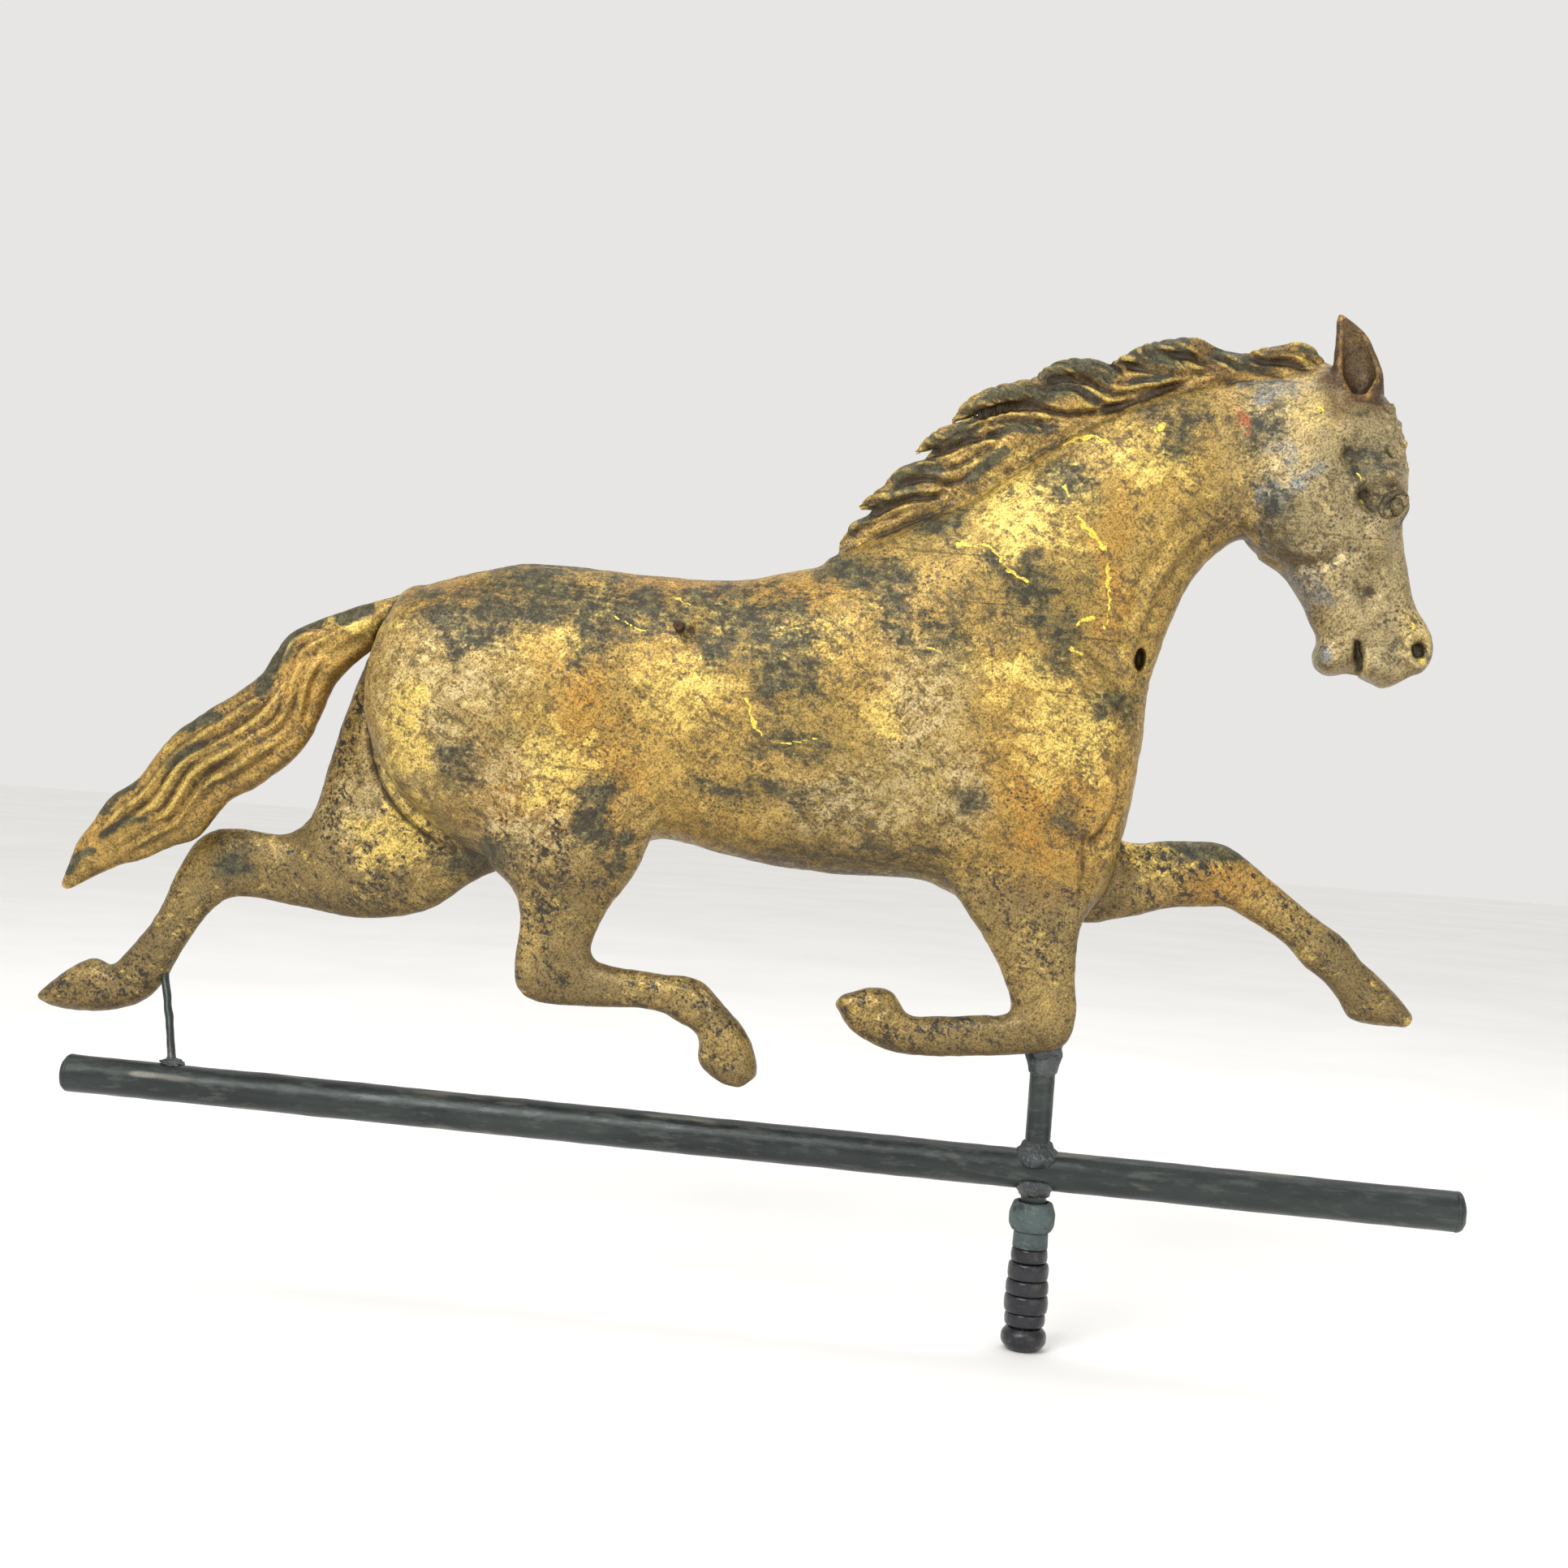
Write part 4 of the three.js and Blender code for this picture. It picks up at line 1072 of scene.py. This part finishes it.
def globe(sides, steps, tip):
    """A unit ball; tip is how far the first ring is from the pole, in radians."""
    angle = around(sides)
    polar = np.linspace(tip, math.pi - tip, steps)
    return skin_of([ring_at(-math.cos(p) * UP, math.sin(p), angle, ALONG, ACROSS) for p in polar])


def turned(name, profile, sides=96, rough=0.0, seed=1):
    """A closed profile of (radius, height) turned about the vertical axis."""
    angle = around(sides)
    rings = [ring_at(z * UP, max(r, TIP), angle, ALONG, ACROSS) for r, z in profile + profile[:1]]
    points, quads = skin_of(rings)
    if rough:
        wobble = rough * (waves(points, 9, seed) + 0.5 * waves(points, 4, seed + 1))
        away = points * (ALONG + ACROSS)
        away /= np.linalg.norm(away, axis=1)[:, None] + 1e-9
        points = points + away * wobble[:, None]
    return mesh_object(name, points, quads)


def rounded(profile, radius, steps=4):
    """Rounds the corners of a closed profile."""
    out = []
    n = len(profile)
    for i in range(n):
        p, a, b = (np.array(profile[j % n], float) for j in (i, i - 1, i + 1))
        la, lb = np.linalg.norm(a - p), np.linalg.norm(b - p)
        if la < 1e-6 or lb < 1e-6:
            continue
        r = min(radius, la * 0.45, lb * 0.45)
        start, end = p + (a - p) / la * r, p + (b - p) / lb * r
        for t in np.linspace(0, 1, steps):
            out.append(tuple((1 - t) ** 2 * start + 2 * t * (1 - t) * p + t**2 * end))
    return out


BAR_REAR = np.array([-576, 0, 103.2])
BAR_FRONT = np.array([231, 0, 99.8])
BAR_RADIUS, BAR_BORE, BAR_SIDES = 11.1, 9.7, 72
CAP = [(0, 3.3), (4, 3.2), (8, 2.5), (10.2, 1.3), (11.1, -0.2), (11.3, -1.4), (11.1, -2.2), (9.5, -2.2),
       (9.5, -12), (8, -12), (8, 0), (0, 1.2)]


def make_bar():
    along = (BAR_FRONT - BAR_REAR) / np.linalg.norm(BAR_FRONT - BAR_REAR)
    up = np.array([-along[2], 0, along[0]])
    angle = around(BAR_SIDES)
    stations = np.linspace(0, np.linalg.norm(BAR_FRONT - BAR_REAR), 260)
    rings = [ring_at(BAR_REAR + along * s, BAR_RADIUS, angle, ACROSS, up) for s in stations]
    rings += [ring_at(BAR_REAR + along * s, BAR_BORE, angle, ACROSS, up) for s in stations[::-1]]
    points, quads = skin_of(rings + rings[:1])
    away = points - BAR_REAR - np.outer((points - BAR_REAR) @ along, along)
    away /= np.linalg.norm(away, axis=1)[:, None]
    points = points + away * (0.12 * waves(points, 40, 21) + 0.05 * waves(points, 12, 22))[:, None]
    fit(mesh_object("crossbar_tube", points, quads), TUBE_SKIN, "bar_tube", "vane", "crossbar")


def make_cap(name, node, end, way):
    """A flat-domed cap with a sleeve inside the tube; way is 1 at the front and -1 at the rear."""
    angle = around(BAR_SIDES)
    rings = []
    for r, h in CAP + CAP[:1]:
        rings.append(ring_at(end + way * (h + 0.05) * ALONG, max(r, TIP), angle, way * ACROSS, UP))
    points, quads = skin_of(rings)
    points[:, 0] += way * 0.25 * waves(points, 8, 31)
    fit(mesh_object(name, points, quads[:, ::-1]), TUBE_SKIN, "bar_tube", "vane", node)


def rod(name, a, b, radius, bow):
    """A slightly bowed rod, thicker at both ends where solder runs up it."""
    a, b = np.array(a, float), np.array(b, float)
    along = (b - a) / np.linalg.norm(b - a)
    side = np.cross(along, ACROSS)
    side /= np.linalg.norm(side)
    other = np.cross(along, side)
    angle = around(32)
    rings = []
    for t in np.linspace(0, 1, 30):
        middle = a + (b - a) * t + side * bow * math.sin(math.pi * t)
        r = radius * (1 + 0.25 * math.exp(-((t / 0.06) ** 2)) + 0.3 * math.exp(-(((1 - t) / 0.07) ** 2)))
        rings.append(ring_at(middle, r, angle, side, other))
    points, quads = skin_of([a + (rings[0] - a) * 0.01] + rings + [b + (rings[-1] - b) * 0.01])
    return mesh_object(name, points + 0.15 * three_waves(points, 12, 41), quads)


def lump(name, node, centre, radii, seed, lumps):
    """Solder as a noisy ellipsoid."""
    unit, quads = globe(64, 36, 0.01)
    size = 1 + lumps * (waves(unit, 0.9, seed) + 0.4 * waves(unit, 0.35, seed + 1))
    points = unit * np.array(radii) * size[:, None] + np.array(centre)
    fit(mesh_object(name, points, quads), SOLDER_SKIN, "solder", "vane", node)


# Solder run round the post: name, the node it replaces, roughness, seed and profile.
SOLDER_RINGS = [
    ("cross_solder_top", "solder_above_bar", 0.5, 61,
     [(7, 117), (7.9, 116.5), (9.2, 114), (11.5, 112.2), (13.2, 108), (12.8, 104), (7, 104)]),
    ("cross_solder_under", "solder_below_bar", 0.5, 63,
     [(7, 86), (8.4, 86.5), (9.6, 89), (11.5, 91), (12.5, 95), (7, 97)]),
    ("knee_solder_ring", "solder_knee", 0.4, 65,
     [(7, 155), (8.2, 156), (9.2, 160), (10.6, 166), (7, 168)]),
]

make_bar()
make_cap("rear_cap", "end_cap_rear", BAR_REAR, -1)
make_cap("front_cap", "end_cap_front", BAR_FRONT, 1)
post = turned("post", rounded([(7.15, 70), (7.15, 172), (6.0, 172), (6.0, 70)], 0.4), rough=0.08, seed=51)
fit(post, TUBE_SKIN, "post_tube", "vane", "post_tube")
for name, node, rough, seed, profile in SOLDER_RINGS:
    fit(turned(name, profile, rough=rough, seed=seed), SOLDER_SKIN, "solder", "vane", node)
lump("knee_solder_cap", "solder_knee", (0, -3, 170), (10, 10.5, 7), 73, 0.08)
stay = rod("stay_rod", (-531, 22, 166), (-513, 2, 112), 2.4, 0.8)
fit(stay, TUBE_SKIN, "post_tube", "vane", "rear_stay")
lump("stay_solder", "solder_stay", (-513, 2, 114), (7, 5.5, 3.2), 71, 0.16)


ROD_BORE = 4.2
# The sleeve's rings: foot, top, radius at both edges and radius at the belly.
SLEEVE = [(0, 13.3, 9.4, 12.8), (13.4, 20.9, 10.9, 11.4), (20.9, 30.9, 11.8, 12.4),
          (30.9, 39.2, 11.4, 12.0), (39.2, 48.9, 10.9, 11.5), (48.9, 56.9, 9.8, 10.3)]
SKIRT = [(ROD_BORE, 57), (9.9, 57), (9.6, 66.4), (ROD_BORE, 66.4)]
COLLAR = [(ROD_BORE, 66.4), (10.6, 66.4), (12.8, 70), (12.8, 77), (10.8, 83), (8.2, 83), (7.9, 69.5),
          (ROD_BORE, 69.5)]


def make_sleeve():
    for i, (foot, top, edge, belly) in enumerate(SLEEVE):
        h = top - foot
        profile = [(ROD_BORE, foot), (edge, foot), (belly, foot + h * 0.3), (belly, foot + h * 0.68),
                   (edge, top), (ROD_BORE, top)]
        ring = turned(f"rib_{i + 1}", rounded(profile, 2.0, 6), rough=0.06, seed=80 + i)
        fit(ring, BLACK_SKIN, "black_rubber", "mount", f"sleeve_ring_{i + 1}")
    skirt = turned("skirt", rounded(SKIRT, 0.8), rough=0.1, seed=90)
    fit(skirt, GREY_SKIN, "grey_rubber", "mount", "collar_skirt")
    collar = turned("collar", rounded(COLLAR, 1.4, 6), rough=0.12, seed=91)
    fit(collar, GREY_SKIN, "grey_rubber", "mount", "rubber_collar")


make_sleeve()


# ---------------------------------------------------------------- eyes and the broken screw
EYE_X, EYE_Z = 166.5, 482.0
EYE_SIDES = 48


def skin_y(side, x, z):
    """The y of the horse's skin at x and z on one side, as the mean of its twelve nearest points."""
    px, py, pz = SKIN_POINTS.T
    away = (px - x) ** 2 + (pz - z) ** 2 + 1e6 * (py * side < 4)
    return py[np.argsort(away)[:12]].mean()


def make_eye(side, word):
    """An eyeball with an almond lid swept round it, both set on the head's skin."""
    deep = skin_y(side, EYE_X, EYE_Z)
    unit, ball_faces = globe(EYE_SIDES, 24, 0.02)
    unit = unit * (1 + 0.05 * waves(unit, 1.3, 95) + 0.03 * waves(unit, 0.6, 96))[:, None]
    ball = unit * np.array([4.0, 3.6, 5.4]) + np.array([EYE_X + 0.6, deep - side * 1.0, EYE_Z - 0.8])
    lid = []
    for t in np.linspace(0, 2 * math.pi, 65):
        length = 9.0 * math.cos(t)
        width = (5.6 if t < math.pi else 4.8) * math.sin(t)
        x = (length - width) * 0.7
        z = (length + width) * 0.7
        at = np.array([EYE_X + x, 0, EYE_Z + z])
        at[1] = skin_y(side, at[0], at[2]) + side * 0.2
        out = np.array([x, 0, z]) / math.hypot(x, z)
        thick = 1.2 + 0.9 * max(math.sin(t), 0) + 0.4 * min(math.sin(t), 0)
        lid.append(ring_at(at, thick, around(EYE_SIDES), out, side * ACROSS))
    for name, grime_and_shade, (points, quads) in (("ball", 1.0, (ball, ball_faces)), ("lid", 0.25, skin_of(lid))):
        normals = vertex_normals(points, quads)
        if ((points - points.mean(0)) * normals).sum() < 0:
            normals, quads = -normals, quads[:, ::-1]
        # the ball is darkened where it sinks below the skin round it: painted shade in the eye socket, and
        # a little on the lid
        sunk = grime_and_shade * np.clip(0.75 - (points[:, 1] * side - deep * side) / 2.4, 0, 1)
        piece = mesh_object(f"eye_{name}_{word}", points, quads, normals, sunk)
        fit(piece, EYE_SKIN, "eye_zinc", "vane", f"eye_{word}")


make_eye(-1, "right")
make_eye(1, "left")

STUB = [(0, -8), (3.2, -8), (3.0, 0), (2.4, 1.6), (0, 1.0)]
STUB_AT = (-218, -46, 390)
stub = turned("broken_screw", rounded(STUB, 0.5), sides=24, rough=0.25, seed=101)
stub.matrix_world = Matrix.Translation(Vector(STUB_AT) * MM) @ Matrix.Rotation(math.radians(90), 4, "X")
fit(stub, SCREW_SKIN, "screw", "vane", "flank_screw")

for node in ("thrust_cup", "lower_bush", "spindle_rod"):
    dress(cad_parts[node], STEEL_SKIN)


# ---------------------------------------------------------------- floor, world and lights
# A light is (name, place, diameter, power); all shine at LIT.
LIGHTS = [("key", (-0.9, -1.7, 1.7), 1.3, 30), ("fill", (1.5, -1.9, 0.7), 1.8, 9),
          ("top", (0.1, 0.5, 2.2), 1.6, 14)]
LIT = (-0.15, 0, 0.33)


def make_stage():
    bpy.ops.mesh.primitive_plane_add(size=14, location=(0, 2, -0.0005))
    floor = bpy.context.object
    floor.name = "floor"
    material, tree, shader = node_material("floor_paint")
    g = Graph(tree)
    g.put(shader.inputs["Base Color"], g.blend(g.noise(3, 3), tone(246, 245, 243), tone(252, 251, 250)))
    shader.inputs["Roughness"].default_value = 0.85
    dress(floor, material)
    world = bpy.data.worlds.new("studio")
    world.use_nodes = True
    shown = world.node_tree.nodes["Background"]
    shown.inputs["Color"].default_value = (1.0, 0.99, 0.97, 1)
    shown.inputs["Strength"].default_value = 0.8
    bpy.context.scene.world = world
    bpy.context.scene.view_settings.view_transform = "Standard"
    for name, at, size, power in LIGHTS:
        data = bpy.data.lights.new(name, "AREA")
        data.shape = "DISK"
        data.size = size
        data.energy = power
        lamp = bpy.data.objects.new(name, data)
        lamp.location = at
        lamp.rotation_euler = (Vector(LIT) - Vector(at)).to_track_quat("-Z", "Y").to_euler()
        bpy.context.scene.collection.objects.link(lamp)


make_stage()
bpy.context.view_layer.update()
